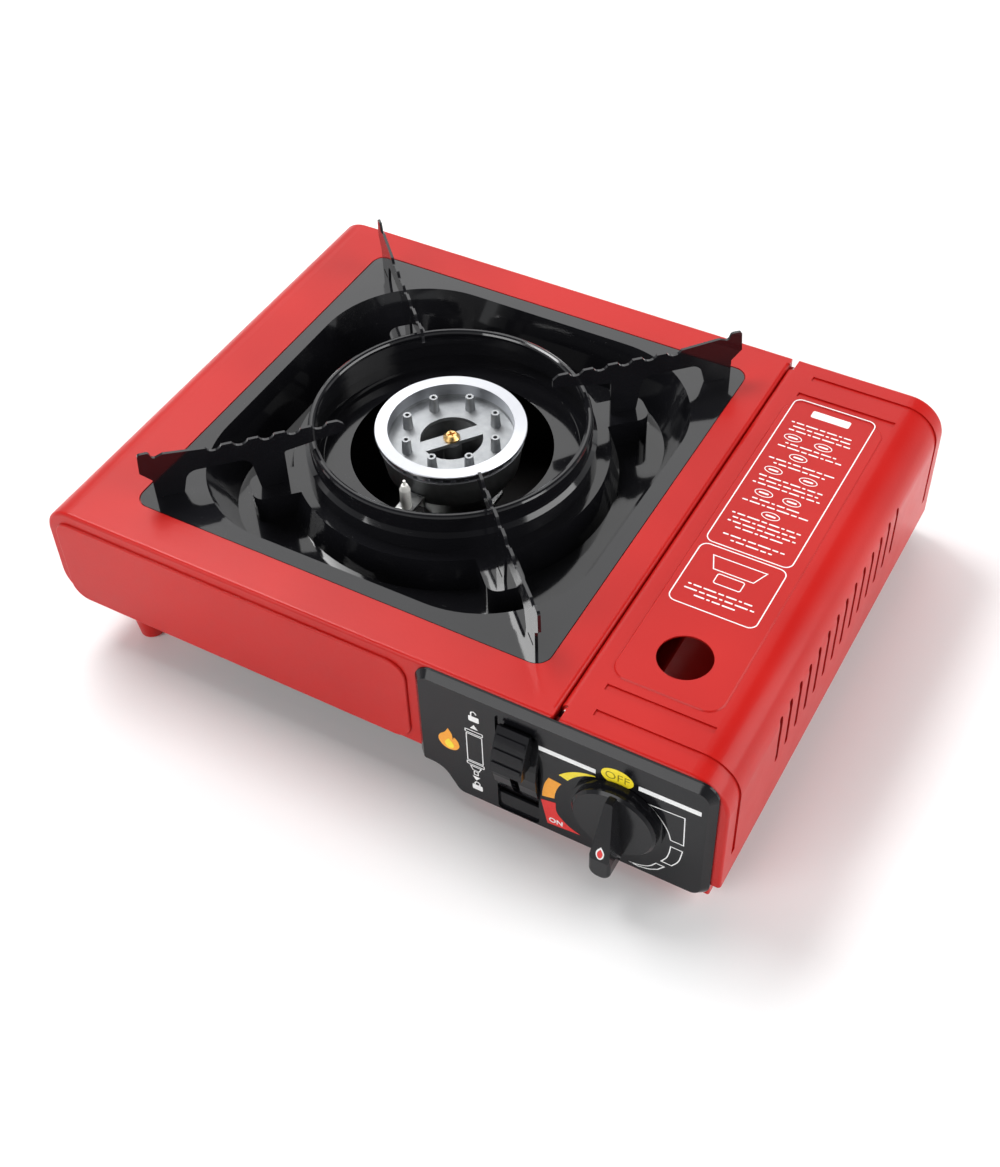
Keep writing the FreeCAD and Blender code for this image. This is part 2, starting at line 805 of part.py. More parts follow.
def bulkhead():
    """Upright sheet between burner and cartridge, with the ears that carry the lid."""
    part = body("bulkhead")
    wall = s.sheet
    face = bulkhead_x + wall
    pad(part, "x", bulkhead_x, face, rectangle(front + wall, bay_floor, back - wall, top - wall))
    foot = rectangle(bulkhead_x - s.seam_flange, front + s.cap_depth, bulkhead_x, back - s.cap_depth)
    pad(part, "z", bay_floor, bay_floor + wall, foot)
    ear = [
        (bulkhead_x, hinge_z - s.ear_drop),
        (hinge_x + s.ear_tip, hinge_z - s.ear_drop / 2),
        (hinge_x + s.ear_tip, hinge_z),
        (hinge_x - s.ear_tip, hinge_z),
        (hinge_x - s.ear_tip, hinge_z - s.curl_radius * 2),
        (bulkhead_x, hinge_z - s.curl_radius * 2),
    ]
    for low in (front + s.ear_from_front, back - s.ear_from_front - s.ear_sheet):
        pad(part, "y", low, low + s.ear_sheet, ear)
        pad(part, "y", low, low + s.ear_sheet, (hinge_x, hinge_z, s.ear_tip))
        pocket(part, "y", low, low + s.ear_sheet, (hinge_x, hinge_z, s.hinge_journal + s.pivot_play))
    pocket(part, "x", bulkhead_x, face, (mixing_y(bulkhead_x), mixing_z, s.mixing_radius + s.mixing_room))
    slot = rectangle(
        pusher_y - pusher_travel - s.bar_sheet,
        bar_z - s.bar_height / 2 - s.play * 2,
        pusher_y + s.bar_sheet * 4,
        bar_z + s.bar_height / 2 + s.play * 2,
    )
    pocket(part, "x", bulkhead_x, face, slot)
    pocket(part, "x", bulkhead_x, face, (pivot_y, pivot_z, s.lever_pin - s.stud_shoulder))


def hinge_pins():
    """Stepped pins: the thin end is held in an ear, the thick end carries the lid's curl."""
    part = body("hinge_pins")
    near = front + s.ear_from_front
    far = back - s.ear_from_front
    bearing = s.curl_radius - s.lid_sheet - s.pivot_play
    for face, way in ((near, 1), (far, -1)):
        inner = face + s.ear_sheet * way
        profile = [
            (0.0, face - s.pin_head * way),
            (s.ear_tip, face - s.pin_head * way),
            (s.ear_tip, face),
            (s.hinge_journal, face),
            (s.hinge_journal, inner),
            (bearing, inner),
            (bearing, inner + s.pin_length * way),
            (0.0, inner + s.pin_length * way),
        ]
        turned(part, "Revolution", profile, (hinge_x, 0.0, hinge_z), "y")


def drip_tray():
    """Enamelled tray: flat flange, bowl, and a raised shoulder with four lobes round the burner."""
    part = body("drip_tray")
    wall = s.tray_sheet
    floor = flange_top - s.bowl_depth
    pad(part, "z", flange_top - wall, flange_top, tray_square(s.tray_side / 2, s.tray_corner))
    loft(
        part,
        "AdditiveLoft",
        floor - wall,
        tray_square(s.bowl_floor_half + wall, s.bowl_floor_corner + wall),
        flange_top - wall,
        tray_square(s.bowl_half + wall, s.bowl_corner + wall),
    )
    loft(
        part,
        "SubtractiveLoft",
        floor,
        tray_square(s.bowl_floor_half, s.bowl_floor_corner),
        flange_top,
        tray_square(s.bowl_half, s.bowl_corner),
    )
    hill = [(0.0, floor - wall), (s.hill_foot, floor - wall), (s.hill_radius, shoulder), (0.0, shoulder)]
    turned(part, "Revolution", hill, (0.0, 0.0, 0.0))
    half = s.lobe_width / 2
    lobe = rectangle(s.burner_hole + wall, -half, s.lobe_reach, half, s.lobe_corner)
    raised = pad(part, "z", floor - wall, shoulder, lobe)
    around(part, [raised], 4)
    cavity = [
        (0.0, floor - wall),
        (s.hill_foot - wall, floor - wall),
        (s.hill_radius - wall, shoulder - wall),
        (0.0, shoulder - wall),
    ]
    turned(part, "Groove", cavity, (0.0, 0.0, 0.0))
    inner = rectangle(
        s.burner_hole + wall * 2, -half + wall, s.lobe_reach - wall, half - wall, s.lobe_corner - wall
    )
    hollow = pocket(part, "z", floor - wall, shoulder - wall, inner)
    around(part, [hollow], 4)
    pocket(part, "z", floor, shoulder + wall, (0.0, 0.0, s.burner_hole))
    slots = pocket(part, "z", floor, shoulder + wall, tab_slot(s.inner_leg))
    around(part, [slots], 4)
    slots = pocket(part, "z", floor, top, tab_slot(s.outer_leg))
    around(part, [slots], 4)
    move(part, burner_x, burner_y, 0.0, DIAGONAL_TURN)


def tray_square(half, radius):
    """A rounded square of the tray, whose own X axis points at a corner."""
    return turned_loop(square(half, radius), DIAGONAL_TURN)


def tab_slot(reach):
    """Slot that takes the tab of a pan support's leg."""
    half = s.tab_width / 2 + s.tab_play
    side = s.support_sheet / 2 + s.tab_play
    return rectangle(reach - half, -side, reach + half, side)


def wind_ring():
    """Collar round the burner with a rolled bead on top and a foot on the tray's shoulder."""
    part = body("wind_ring")
    wall = s.tray_sheet
    bead_z = shoulder + s.ring_height - s.ring_bead
    step = shoulder + s.ring_height * 0.4
    outer = s.ring_radius
    profile = [
        (s.ring_foot - s.ring_foot_width, shoulder),
        (s.ring_foot, shoulder),
        (s.ring_foot, step),
        (outer, step + s.ring_bead),
        (outer, bead_z),
        (outer - wall, bead_z),
        (outer - wall, step + s.ring_bead - wall / 2),
        (s.ring_foot - wall, step - wall / 2),
        (s.ring_foot - wall, shoulder + wall),
        (s.ring_foot - s.ring_foot_width, shoulder + wall),
    ]
    turned(part, "Revolution", profile, (0.0, 0.0, 0.0))
    turned(part, "Revolution", rolled_edge(outer - s.ring_bead, bead_z, s.ring_bead), (0.0, 0.0, 0.0))
    move(part, burner_x, burner_y, 0.0)


def rolled_edge(across, up, radius):
    """Section of a rolled edge, as a twelve-sided ring."""
    sides = 12
    steps = [360.0 * (side + 0.5) / sides for side in range(sides)]
    return [(across + cosine(step) * radius, up + sine(step) * radius) for step in steps]


def support_outline():
    """Side view of a pan support: distance from the burner's axis, and height."""
    inner_low = s.inner_leg - s.leg_width / 2
    inner_high = s.inner_leg + s.leg_width / 2
    outer_low = s.outer_leg - s.leg_width / 2
    outer_high = s.outer_leg + s.leg_width / 2
    tab = s.tab_width / 2
    arch = skirt + s.support_arch
    crest = skirt + s.support_top
    hook = skirt + s.hook_top
    tip = s.support_outer
    return [
        (s.support_inner, arch + s.support_nose),
        (s.support_inner, crest - s.support_nose / 2, s.nick),
        (s.support_inner + s.nick * 2, crest, s.nick),
        (outer_low - s.leg_width, crest, s.leg_width),
        (tip - s.hook_width * 2, crest + s.hook_rise, s.nick),
        (tip - s.hook_width * 1.2, crest, s.nick),
        (tip - s.hook_width, hook, s.nick),
        (tip - s.nick / 2, hook, s.nick),
        (tip, skirt + s.hook_bottom + s.hook_rise * 2),
        (outer_high, skirt + s.hook_bottom - s.hook_rise),
        (outer_high, flange_top),
        (s.outer_leg + tab, flange_top),
        (s.outer_leg + tab, flange_top - s.tab_length),
        (s.outer_leg - tab, flange_top - s.tab_length),
        (s.outer_leg - tab, flange_top),
        (outer_low, flange_top),
        (outer_low - s.hook_width / 2, arch, s.hook_width),
        (inner_high + s.hook_width / 2, arch, s.hook_width),
        (inner_high, shoulder),
        (s.inner_leg + tab, shoulder),
        (s.inner_leg + tab, shoulder - s.tab_length),
        (s.inner_leg - tab, shoulder - s.tab_length),
        (s.inner_leg - tab, shoulder),
        (inner_low, shoulder),
        (inner_low, arch, s.nick),
    ]


def pan_supports():
    """Four stamped arms that carry the pan, each on two legs set in the tray."""
    for index, label in enumerate(("right_rear", "left_rear", "left_front", "right_front")):
        part = body("pan_support_" + label)
        pad(part, "y", -s.support_sheet / 2, s.support_sheet / 2, support_outline())
        crest = skirt + s.support_top + s.notch_radius - s.notch_depth
        notch = pocket(part, "y", -s.support_sheet, s.support_sheet, (s.notch_start, crest, s.notch_radius))
        along(part, [notch], "X_Axis", s.notch_pitch * (s.notch_count - 1), s.notch_count)
        move(part, burner_x, burner_y, 0.0, DIAGONAL_TURN + 90 * index)


def burner_body():
    """Cast cup of the burner with its mixing tube and the post that the head is screwed to."""
    part = body("burner_body")
    seat = burner_seat
    rim = skirt + s.cup_top
    neck = mixing_z + s.mixing_radius + s.burner_wall
    waist = s.cup_radius
    outer = [
        (0.0, seat),
        (s.chamber_radius, seat),
        (s.chamber_radius, neck),
        (waist, skirt + s.cup_shoulder),
        (s.cup_rim, rim),
        (0.0, rim),
    ]
    turned(part, "Revolution", outer, (0.0, 0.0, 0.0))
    inner = [
        (0.0, seat + s.burner_wall),
        (s.chamber_radius - s.burner_wall, seat + s.burner_wall),
        (s.chamber_radius - s.burner_wall, neck),
        (waist - s.burner_wall, skirt + s.cup_shoulder + s.burner_wall),
        (s.cup_rim - s.burner_wall, rim),
        (0.0, rim),
    ]
    turned(part, "Revolution", tube_profile(), (0.0, 0.0, mixing_z), "x")
    turned(part, "Groove", inner, (0.0, 0.0, 0.0))
    turned(part, "Groove", tube_bore(), (0.0, 0.0, mixing_z), "x")
    post = [(0.0, seat), (s.post_boss, seat), (s.post_boss, head_floor), (0.0, head_floor)]
    turned(part, "Revolution", post, (0.0, 0.0, 0.0))
    bore = s.head_screw + s.pivot_play
    pocket(part, "z", head_floor - s.screw_length, head_floor, (0.0, 0.0, bore))
    move(part, burner_x, burner_y, 0.0, mixing_turn)


def tube_profile():
    """Mixing tube with a flared mouth: distance from its axis, and along it."""
    mouth = s.mixing_length
    flare = s.mixing_radius + s.burner_wall / 2
    return [
        (0.0, s.chamber_radius / 2),
        (s.mixing_radius, s.chamber_radius / 2),
        (s.mixing_radius, mouth - s.mixing_radius),
        (flare, mouth),
        (0.0, mouth),
    ]


def tube_bore():
    """Bore of the mixing tube, narrowest a third of the way in from its mouth."""
    mouth = s.mixing_length
    return [
        (0.0, s.chamber_radius / 2),
        (s.mixing_bore, s.chamber_radius / 2),
        (s.mixing_bore * 0.7, mouth * 0.7),
        (s.mixing_bore, mouth),
        (0.0, mouth),
    ]


def burner_head():
    """Machined head: bright rim, row of flame slots, eight bored posts, bridge for the screw."""
    part = body("burner_head")
    rim = skirt + s.head_top
    floor = rim - s.head_depth
    seat = skirt + s.cup_top
    slot_high = rim - s.rim_height
    slot_low = slot_high - s.slot_height
    band = s.head_radius - s.rim_lip
    plug = cup_radius_at(head_floor) - s.burner_wall - s.play
    profile = [
        (s.centre_hole, head_floor),
        (plug, head_floor),
        (plug, seat),
        (s.cup_rim, seat),
        (s.cup_rim + s.rim_lip / 2, slot_low - s.play),
        (band, slot_low),
        (band, slot_high),
        (s.head_radius, slot_high + s.play),
        (s.head_radius, rim - s.play),
        (s.head_radius - s.play, rim),
        (s.head_bore, rim),
        (s.head_bore, floor),
        (s.centre_hole, floor),
    ]
    turned(part, "Revolution", profile, (0.0, 0.0, 0.0))
    half = s.slot_width / 2
    cut = rectangle(band - s.slot_depth, -half, s.head_radius + 1.0, half)
    slot = pocket(part, "z", slot_low, slot_high, cut)
    around(part, [slot], s.slot_count)
    tip = rim - s.play
    taper = s.post_radius - s.post_taper
    hollow_floor = floor + s.post_bore
    post = [
        (0.0, floor),
        (s.post_radius, floor),
        (taper, tip),
        (s.post_bore, tip),
        (s.post_bore, hollow_floor),
        (0.0, hollow_floor),
    ]
    raised = turned(part, "Revolution", post, (s.post_circle, 0.0, 0.0))
    around(part, [raised], s.post_count)
    width = s.bridge_width / 2
    reach = s.centre_hole + s.burner_wall / 2
    pad(part, "z", head_floor, floor, rectangle(-reach, -width, reach, width))
    pocket(part, "z", head_floor, floor, (0.0, 0.0, s.head_screw + s.play))
    move(part, burner_x, burner_y, 0.0, s.bridge_angle)


def burner_screw():
    """Screw that holds the head to the post."""
    part = body("burner_screw")
    floor = skirt + s.head_top - s.head_depth
    radius = s.head_screw * 2
    profile = [
        (0.0, head_floor - s.screw_length + s.play),
        (s.head_screw, head_floor - s.screw_length + s.play),
        (s.head_screw, floor),
        (radius, floor),
        (radius, floor + s.head_screw / 2),
        (radius * 0.6, floor + s.head_screw * 1.3),
        (0.0, floor + s.head_screw * 1.3),
    ]
    turned(part, "Revolution", profile, (0.0, 0.0, 0.0))
    deep = floor + s.head_screw * 0.6
    wide = s.head_screw / 4
    long = s.head_screw
    crest = floor + s.head_screw * 2
    pocket(part, "z", deep, crest, rectangle(-long, -wide, long, wide))
    pocket(part, "z", deep, crest, rectangle(-wide, -long, wide, -wide), rectangle(-wide, wide, wide, long))
    move(part, burner_x, burner_y, 0.0, s.bridge_angle)


def burner_stand():
    """Bracket between the floor and the burner."""
    part = body("burner_stand")
    low = skirt + s.sheet * 2
    half = s.chamber_radius + s.stand_ear
    width = s.chamber_radius * 0.7
    pad(part, "z", low, burner_seat, rectangle(-half, -width, half, width, s.burner_wall))
    holes = [(half * way - s.stand_ear / 2 * way, 0.0, s.fixing + s.play) for way in (-1, 1)]
    pocket(part, "z", low, burner_seat, *holes)
    move(part, burner_x, burner_y, 0.0, 90.0)


def stand_places():
    """Where the bracket's screws go, front and back of the burner."""
    reach = s.chamber_radius + s.stand_ear / 2
    return burner_y - reach, burner_y + reach


def stand_screws():
    """Screws that hold the burner's bracket to the floor, with nuts below."""
    part = body("stand_screws")
    low = skirt + s.sheet
    for y in stand_places():
        turned(part, "Revolution", screw_profile(burner_seat, low), (burner_x, y, 0.0))


def screw_profile(seat, tip):
    """A pan-head screw from its seat down to its tip."""
    return [
        (0.0, tip),
        (s.fixing, tip),
        (s.fixing, seat),
        (s.fixing * 2, seat),
        (s.fixing * 2, seat + s.fixing),
        (0.0, seat + s.fixing * 1.4),
    ]


def igniter_electrode():
    """Ceramic rod with the spark wire in its tip."""
    part = body("igniter_electrode")
    low = skirt + s.electrode_low
    high = skirt + s.electrode_high
    thick = s.electrode_radius
    profile = [
        (0.0, low),
        (thick * 0.8, low),
        (thick * 0.8, low + s.electrode_step),
        (thick, low + s.electrode_step),
        (thick, high - thick),
        (thick * 0.6, high),
        (s.wire_radius, high),
        (s.wire_radius, high + thick),
        (0.0, high + thick),
    ]
    turned(part, "Revolution", profile, (burner_x, burner_y - s.electrode_reach, 0.0))


def electrode_clip():
    """Strap from the burner's cup that holds the ceramic rod."""
    part = body("electrode_clip")
    high = skirt + s.clip_height
    half = s.electrode_radius * 1.6
    edge = cup_radius_at(high) + s.play
    near = -s.electrode_reach - half
    pad(part, "z", high - s.clip_sheet, high, rectangle(-half, near, half, -edge))
    low = high - s.clip_drop
    pad(part, "y", -edge - s.clip_sheet, -edge, rectangle(-half, low, half, high))
    hole = (0.0, -s.electrode_reach, s.electrode_radius + s.pivot_play)
    pocket(part, "z", high - s.clip_sheet, high, hole)
    move(part, burner_x, burner_y, 0.0)


def cup_radius_at(height):
    """Radius of the burner's cup at a height on its upper slope."""
    low = skirt + s.cup_shoulder
    slope = (s.cup_rim - s.cup_radius) * (height - low)
    return s.cup_radius + slope / (s.cup_top - s.cup_shoulder)


def valve_body():
    """Cast valve and pressure regulator between the knob and the cartridge."""
    part = body("valve_body")
    face = s.valve_face
    deep = s.stop_from_front
    profile = [
        (0.0, face),
        (s.gland_radius, face),
        (s.gland_radius, face + s.gland_radius / 2),
        (s.valve_radius, face + s.gland_radius / 2 + s.sheet),
        (s.valve_radius, deep - s.valve_flange),
        (s.flange_radius, deep - s.valve_flange),
        (s.flange_radius, deep),
        (s.socket_radius, deep),
        (s.socket_radius, deep + s.socket_length),
        (0.0, deep + s.socket_length),
    ]
    turned(part, "Revolution", profile, (knob_x, front, knob_z), "y")
    drum = s.valve_radius + s.drum_length
    side = (knob_x, front + s.regulator_from_front, knob_z)
    barrel = [(0.0, 0.0), (s.drum_radius, 0.0), (s.drum_radius, drum), (0.0, drum)]
    turned(part, "Revolution", barrel, side, "x")
    start = s.mixing_length + s.jet_gap + s.jet_length
    end = start + s.outlet_length
    arm = [(0.0, start), (s.outlet_radius, start), (s.outlet_radius, end), (0.0, end)]
    turned(part, "Revolution", arm, (burner_x, burner_y, mixing_z), "x", mixing_turn)
    bore = s.spindle_radius + s.pivot_play
    spindle = [(0.0, face), (bore, face), (bore, face + s.spindle_seat), (0.0, face + s.spindle_seat)]
    turned(part, "Groove", spindle, (knob_x, front, knob_z), "y")
    stem = s.socket_radius * 0.45
    mouth = deep + s.socket_length
    socket = [
        (0.0, deep),
        (stem, deep),
        (stem, mouth - s.socket_length / 3),
        (s.socket_radius * 0.7, mouth - s.socket_length / 3),
        (s.socket_radius * 0.7, mouth),
        (0.0, mouth),
    ]
    turned(part, "Groove", socket, (knob_x, front, knob_z), "y")


def regulator_cap():
    """Round cover of the regulator's diaphragm, on the valve's right side."""
    part = body("regulator_cap")
    near = s.valve_radius + s.drum_length
    far = near + s.regulator_thick
    radius = s.regulator_radius
    profile = [
        (0.0, near),
        (radius, near),
        (radius, near + s.regulator_thick / 2),
        (radius * 0.7, near + s.regulator_thick / 2),
        (radius * 0.6, far),
        (0.0, far),
    ]
    turned(part, "Revolution", profile, (knob_x, front + s.regulator_from_front, knob_z), "x")


def gas_jet():
    """Brass nozzle in the valve's outlet, pointing down the mixing tube."""
    part = body("gas_jet")
    start = s.mixing_length + s.jet_gap
    profile = [
        (s.jet_bore, start),
        (s.jet_radius * 0.6, start),
        (s.jet_radius, start + s.jet_radius),
        (s.jet_radius, start + s.jet_length * 0.5),
        (s.jet_radius * 1.5, start + s.jet_length * 0.5),
        (s.jet_radius * 1.5, start + s.jet_length),
        (s.jet_bore, start + s.jet_length),
    ]
    turned(part, "Revolution", profile, (0.0, 0.0, mixing_z), "x")
    move(part, burner_x, burner_y, 0.0, mixing_turn)


def stop_plate():
    """Plate that carries the valve and that the cartridge is pressed against, with its locating tab."""
    part = body("stop_plate")
    wall = s.stop_sheet
    low_x = bulkhead_x + s.sheet
    high_x = cap_right - s.sheet - s.pan_bend
    high_z = skirt + s.stop_height
    face = rectangle(low_x, bay_floor, high_x, high_z)
    pad(part, "y", stop_y, stop_y + wall, face)
    pad(part, "z", bay_floor, bay_floor + wall, rectangle(low_x, stop_y - s.stop_foot, high_x, stop_y))
    half = s.tab_half
    tab = rectangle(knob_x - half, stop_y, knob_x + half, stop_y + s.stop_foot)
    pad(part, "z", high_z - wall, high_z, tab)
    pocket(part, "y", stop_y, stop_y + wall, (knob_x, knob_z, s.socket_radius + s.play))
    notch = rectangle(low_x - 1.0, skirt, knob_x - s.valve_radius, mixing_z + s.mixing_radius + s.mixing_room)
    pocket(part, "y", stop_y, stop_y + wall, notch)


def cartridge_cradle():
    """Curved saddle under the cartridge."""
    part = body("cartridge_cradle")
    outer = knob_z - bay_floor
    inner = outer - s.sheet
    low = stop_y + s.cradle_start
    high = back - s.cradle_end
    pad(part, "y", low, high, (knob_x, knob_z, outer))
    pocket(part, "y", low, high, (knob_x, knob_z, inner))
    brim = knob_z - inner * s.cradle_depth
    above = rectangle(knob_x - outer * 2, brim, knob_x + outer * 2, knob_z + outer * 2)
    pocket(part, "y", low, high, above)


def lever_stud():
    """Shouldered stud on the bulkhead that the lever turns on."""
    part = body("lever_stud")
    hub = s.hub_length
    start = bulkhead_x + s.sheet
    profile = [
        (0.0, start),
        (s.lever_pin - s.stud_shoulder - s.pivot_play, start),
        (s.lever_pin - s.stud_shoulder - s.pivot_play, bulkhead_x),
        (s.lever_hub * 0.8, bulkhead_x),
        (s.lever_hub * 0.8, hub_right + s.play),
        (s.lever_pin - s.pivot_play, hub_right + s.play),
        (s.lever_pin - s.pivot_play, hub_right - hub - s.play),
        (s.lever_hub * 0.8, hub_right - hub - s.play),
        (s.lever_hub * 0.8, hub_right - hub - s.play - s.sheet),
        (0.0, hub_right - hub - s.play - s.sheet),
    ]
    turned(part, "Revolution", profile, (0.0, pivot_y, pivot_z), "x")


def lever_arm():
    """Lever plate: hub, arm out to the cap, and crank with the pin that drives the bar."""
    part = body("lever_arm")
    low = pivot_x - s.lever_sheet / 2
    high = pivot_x + s.lever_sheet / 2
    reach = s.track_radius + s.play + s.cap_reach / 2
    half = s.arm_width / 2
    arm = [(-reach, -half), (0.0, -half), (0.0, half), (-reach, half)]
    pad(part, "x", low, high, turned_loop(arm, -s.lever_rest))
    crank = [(-half, 0.0), (half, 0.0), (half, s.crank), (-half, s.crank)]
    pad(part, "x", low, high, turned_loop(crank, -s.lever_turn / 2))
    pin = crank_place()
    pad(part, "x", low, high, (pin[0], pin[1], half))
    pad(part, "x", hub_right - s.hub_length, hub_right, (0.0, 0.0, s.lever_hub))
    bar_right = bar_x + s.bar_sheet
    pad(part, "x", high, bar_right + s.play * 2, (pin[0], pin[1], s.crank_pin))
    pocket(part, "x", hub_right - s.hub_length, hub_right, (0.0, 0.0, s.lever_pin))
    move(part, 0.0, pivot_y, pivot_z)


def turned_loop(points, degrees):
    """Points turned about the origin; the angle is in degrees, anticlockwise."""
    turn_sine = sine(degrees)
    turn_cosine = cosine(degrees)
    return [
        (turn_cosine * p[0] - turn_sine * p[1], turn_sine * p[0] + turn_cosine * p[1]) + tuple(p[2:])
        for p in points
    ]


def crank_place():
    """Crank pin at rest, from the lever's pivot: back and up."""
    return turned_loop([(0.0, s.crank)], -s.lever_turn / 2)[0]


def lever_cap():
    """Finger cap on the end of the lever, curved like the track that it slides over."""
    part = body("lever_cap")
    low = pivot_x - s.cap_width / 2
    high = pivot_x + s.cap_width / 2
    inner = s.track_radius + s.play
    outer = inner + s.cap_reach
    pad(part, "x", low, high, sector(inner, outer, s.cap_span / 2))
    pad(part, "x", low, high, sector((inner + outer) / 2 + s.play, outer, s.cap_lip / 2))
    half = s.arm_width / 2 + s.play / 3
    side = s.lever_sheet / 2 + s.play / 3
    socket = rectangle(-inner - s.cap_reach / 2 - s.play / 3, -half, -inner + 1.0, half)
    pocket(part, "x", pivot_x - side, pivot_x + side, socket)
    for place in (-1, 0, 1):
        ridge = sector(outer - s.play, outer + s.ridge, s.ridge * 1.5, s.cap_lip / 3.4 * place)
        pad(part, "x", low + s.ridge, high - s.ridge, ridge)
    move(part, 0.0, pivot_y, pivot_z, -s.lever_rest, FreeCAD.Vector(1, 0, 0))


def sector(inner, outer, half, middle=0.0):
    """Curved band about the lever's pivot, on its front side: radii and angles in degrees."""
    steps = 8
    loop = []
    for radius, way in ((inner, 1), (outer, -1)):
        for step in range(steps + 1):
            angle = middle + half * (way * (2.0 * step / steps - 1))
            loop.append((-cosine(angle) * radius, sine(angle) * radius))
    return loop


def pusher_bar():
    """Flat bar along the bulkhead, driven by the lever's crank, bent over at its rear end."""
    part = body("pusher_bar")
    high = bar_x + s.bar_sheet
    low_z = bar_z - s.bar_height / 2
    high_z = bar_z + s.bar_height / 2
    pin = crank_place()
    start = pivot_y + pin[0] - s.crank_pin * 3
    tail = pusher_y + s.bar_sheet
    pad(part, "x", bar_x, high, rectangle(start, low_z, tail + s.bar_sheet, high_z))
    tab = bulkhead_x + s.sheet + s.bar_height
    pad(part, "y", tail, tail + s.bar_sheet, rectangle(bar_x, low_z, tab, high_z))
    half = s.crank_pin + s.tab_play
    middle = pivot_z + (pin[1] + s.crank) / 2
    reach = half + (s.crank - pin[1]) / 2 + s.play
    slot = rectangle(pivot_y + pin[0] - half, middle - reach, pivot_y + pin[0] + half, middle + reach)
    pocket(part, "x", bar_x, high, slot)


def bar_guides():
    """Two guides on the bulkhead that the bar slides in."""
    part = body("bar_guides")
    gap = s.tab_play
    wall = s.bar_sheet * 1.5
    low_z = bar_z - s.bar_height / 2
    high_z = bar_z + s.bar_height / 2
    for place in (s.guide_first, s.guide_second):
        low = front + place
        high = low + s.guide_length
        block = rectangle(bar_x - gap - s.bar_sheet, low_z - wall, bulkhead_x, high_z + wall)
        pad(part, "y", low, high, block)
        room = rectangle(bar_x - gap, low_z - gap, bar_x + s.bar_sheet + gap, high_z + gap)
        pocket(part, "y", low, high, room)


def pusher_plate():
    """Plate behind the cartridge that the bar draws forward."""
    part = body("pusher_plate")
    low_x = bulkhead_x + s.sheet + s.play * 4
    plate = rectangle(
        low_x, knob_z - s.pusher_half, knob_x + s.pusher_half, knob_z + s.pusher_half, s.pusher_half / 2
    )
    pad(part, "y", pusher_y, pusher_y + s.bar_sheet, plate)
    pad(part, "y", pusher_y - s.bar_sheet, pusher_y, (knob_x, knob_z, s.pusher_half / 3))


def piezo_unit():
    """Spark unit held behind the panel, with the bore for its plunger."""
    part = body("piezo_unit")
    low = knob_x + s.cam_low + s.cam_rise + s.piezo_gap
    high = low + s.piezo_length
    half = s.piezo_half
    near = front + s.sheet
    block = rectangle(low, knob_z - half, high, knob_z + half, s.sheet)
    pad(part, "y", near, near + half * 2, block)
    bore = [(0.0, low), (s.plunger_radius, low), (s.plunger_radius, high - half), (0.0, high - half)]
    turned(part, "Groove", bore, (0.0, cam_y, knob_z), "x")
    end = high + s.plunger_radius
    boss = [(0.0, high), (s.plunger_radius, high), (s.plunger_radius, end), (0.0, end)]
    turned(part, "Revolution", boss, (0.0, cam_y, knob_z), "x")


def piezo_plunger():
    """Plunger that the cam presses into the spark unit as the knob turns."""
    part = body("piezo_plunger")
    tip = knob_x + s.cam_low + s.cam_gap
    end = knob_x + s.cam_low + s.cam_rise + s.piezo_gap + s.plunger_hold
    radius = s.plunger_radius - s.pivot_play * 1.6
    profile = [
        (0.0, tip),
        (radius * 0.3, tip),
        (radius, tip + radius),
        (radius, end),
        (0.0, end),
    ]
    turned(part, "Revolution", profile, (0.0, cam_y, knob_z), "x")


def igniter_cam():
    """Cam on the spindle whose edge rises steadily through the knob's turn."""
    part = doc.addObject("Part::Feature", "igniter_cam")
    part.Label = "igniter_cam"
    steps = 15
    margin = 10.0
    points = []
    for step in range(steps + 1):
        degrees = -margin + (SIZES["cam_turn"] + 2 * margin) * step / steps
        radius = SIZES["cam_low"] + SIZES["cam_rise"] * degrees / SIZES["cam_turn"]
        angle = math.radians(-degrees)
        points.append(FreeCAD.Vector(radius * math.cos(angle), 0, radius * math.sin(angle)))
    spiral = Part.BSplineCurve()
    spiral.interpolate(points)
    hub = SIZES["spindle_radius"] + SIZES["burner_wall"]
    back_angle = math.radians(180 - (SIZES["cam_turn"] - margin) / 8)
    heel = FreeCAD.Vector(hub * math.cos(back_angle), 0, hub * math.sin(back_angle))
    edges = [spiral.toShape(), Part.makeLine(points[-1], heel), Part.makeLine(heel, points[0])]
    thickness = FreeCAD.Vector(0, SIZES["cam_thickness"], 0)
    plate = Part.Face(Part.Wire(edges)).extrude(thickness)
    along_y = FreeCAD.Vector(0, 1, 0)
    middle = FreeCAD.Vector(0, 0, 0)
    collar = Part.makeCylinder(hub, SIZES["cam_thickness"], middle, along_y)
    bore = Part.makeCylinder(SIZES["spindle_radius"], SIZES["cam_thickness"], middle, along_y)
    part.Shape = plate.fuse(collar).cut(bore).removeSplitter()
    nodes.append(part)
    move(part, knob_x, cam_y - s.cam_thickness / 2, knob_z)


def valve_spindle():
    """Spindle from the knob into the valve, stepped where the knob sits."""
    part = body("valve_spindle")
    tip = -s.panel_proud - s.knob_gap - s.knob_disc
    profile = [
        (0.0, tip),
        (s.spindle_radius * 0.75, tip),
        (s.spindle_radius * 0.75, -s.panel_proud - s.knob_gap),
        (s.spindle_radius, -s.panel_proud - s.knob_gap),
        (s.spindle_radius, s.valve_face + s.spindle_seat - s.play),
        (0.0, s.valve_face + s.spindle_seat - s.play),
    ]
    turned(part, "Revolution", profile, (knob_x, front, knob_z), "y")


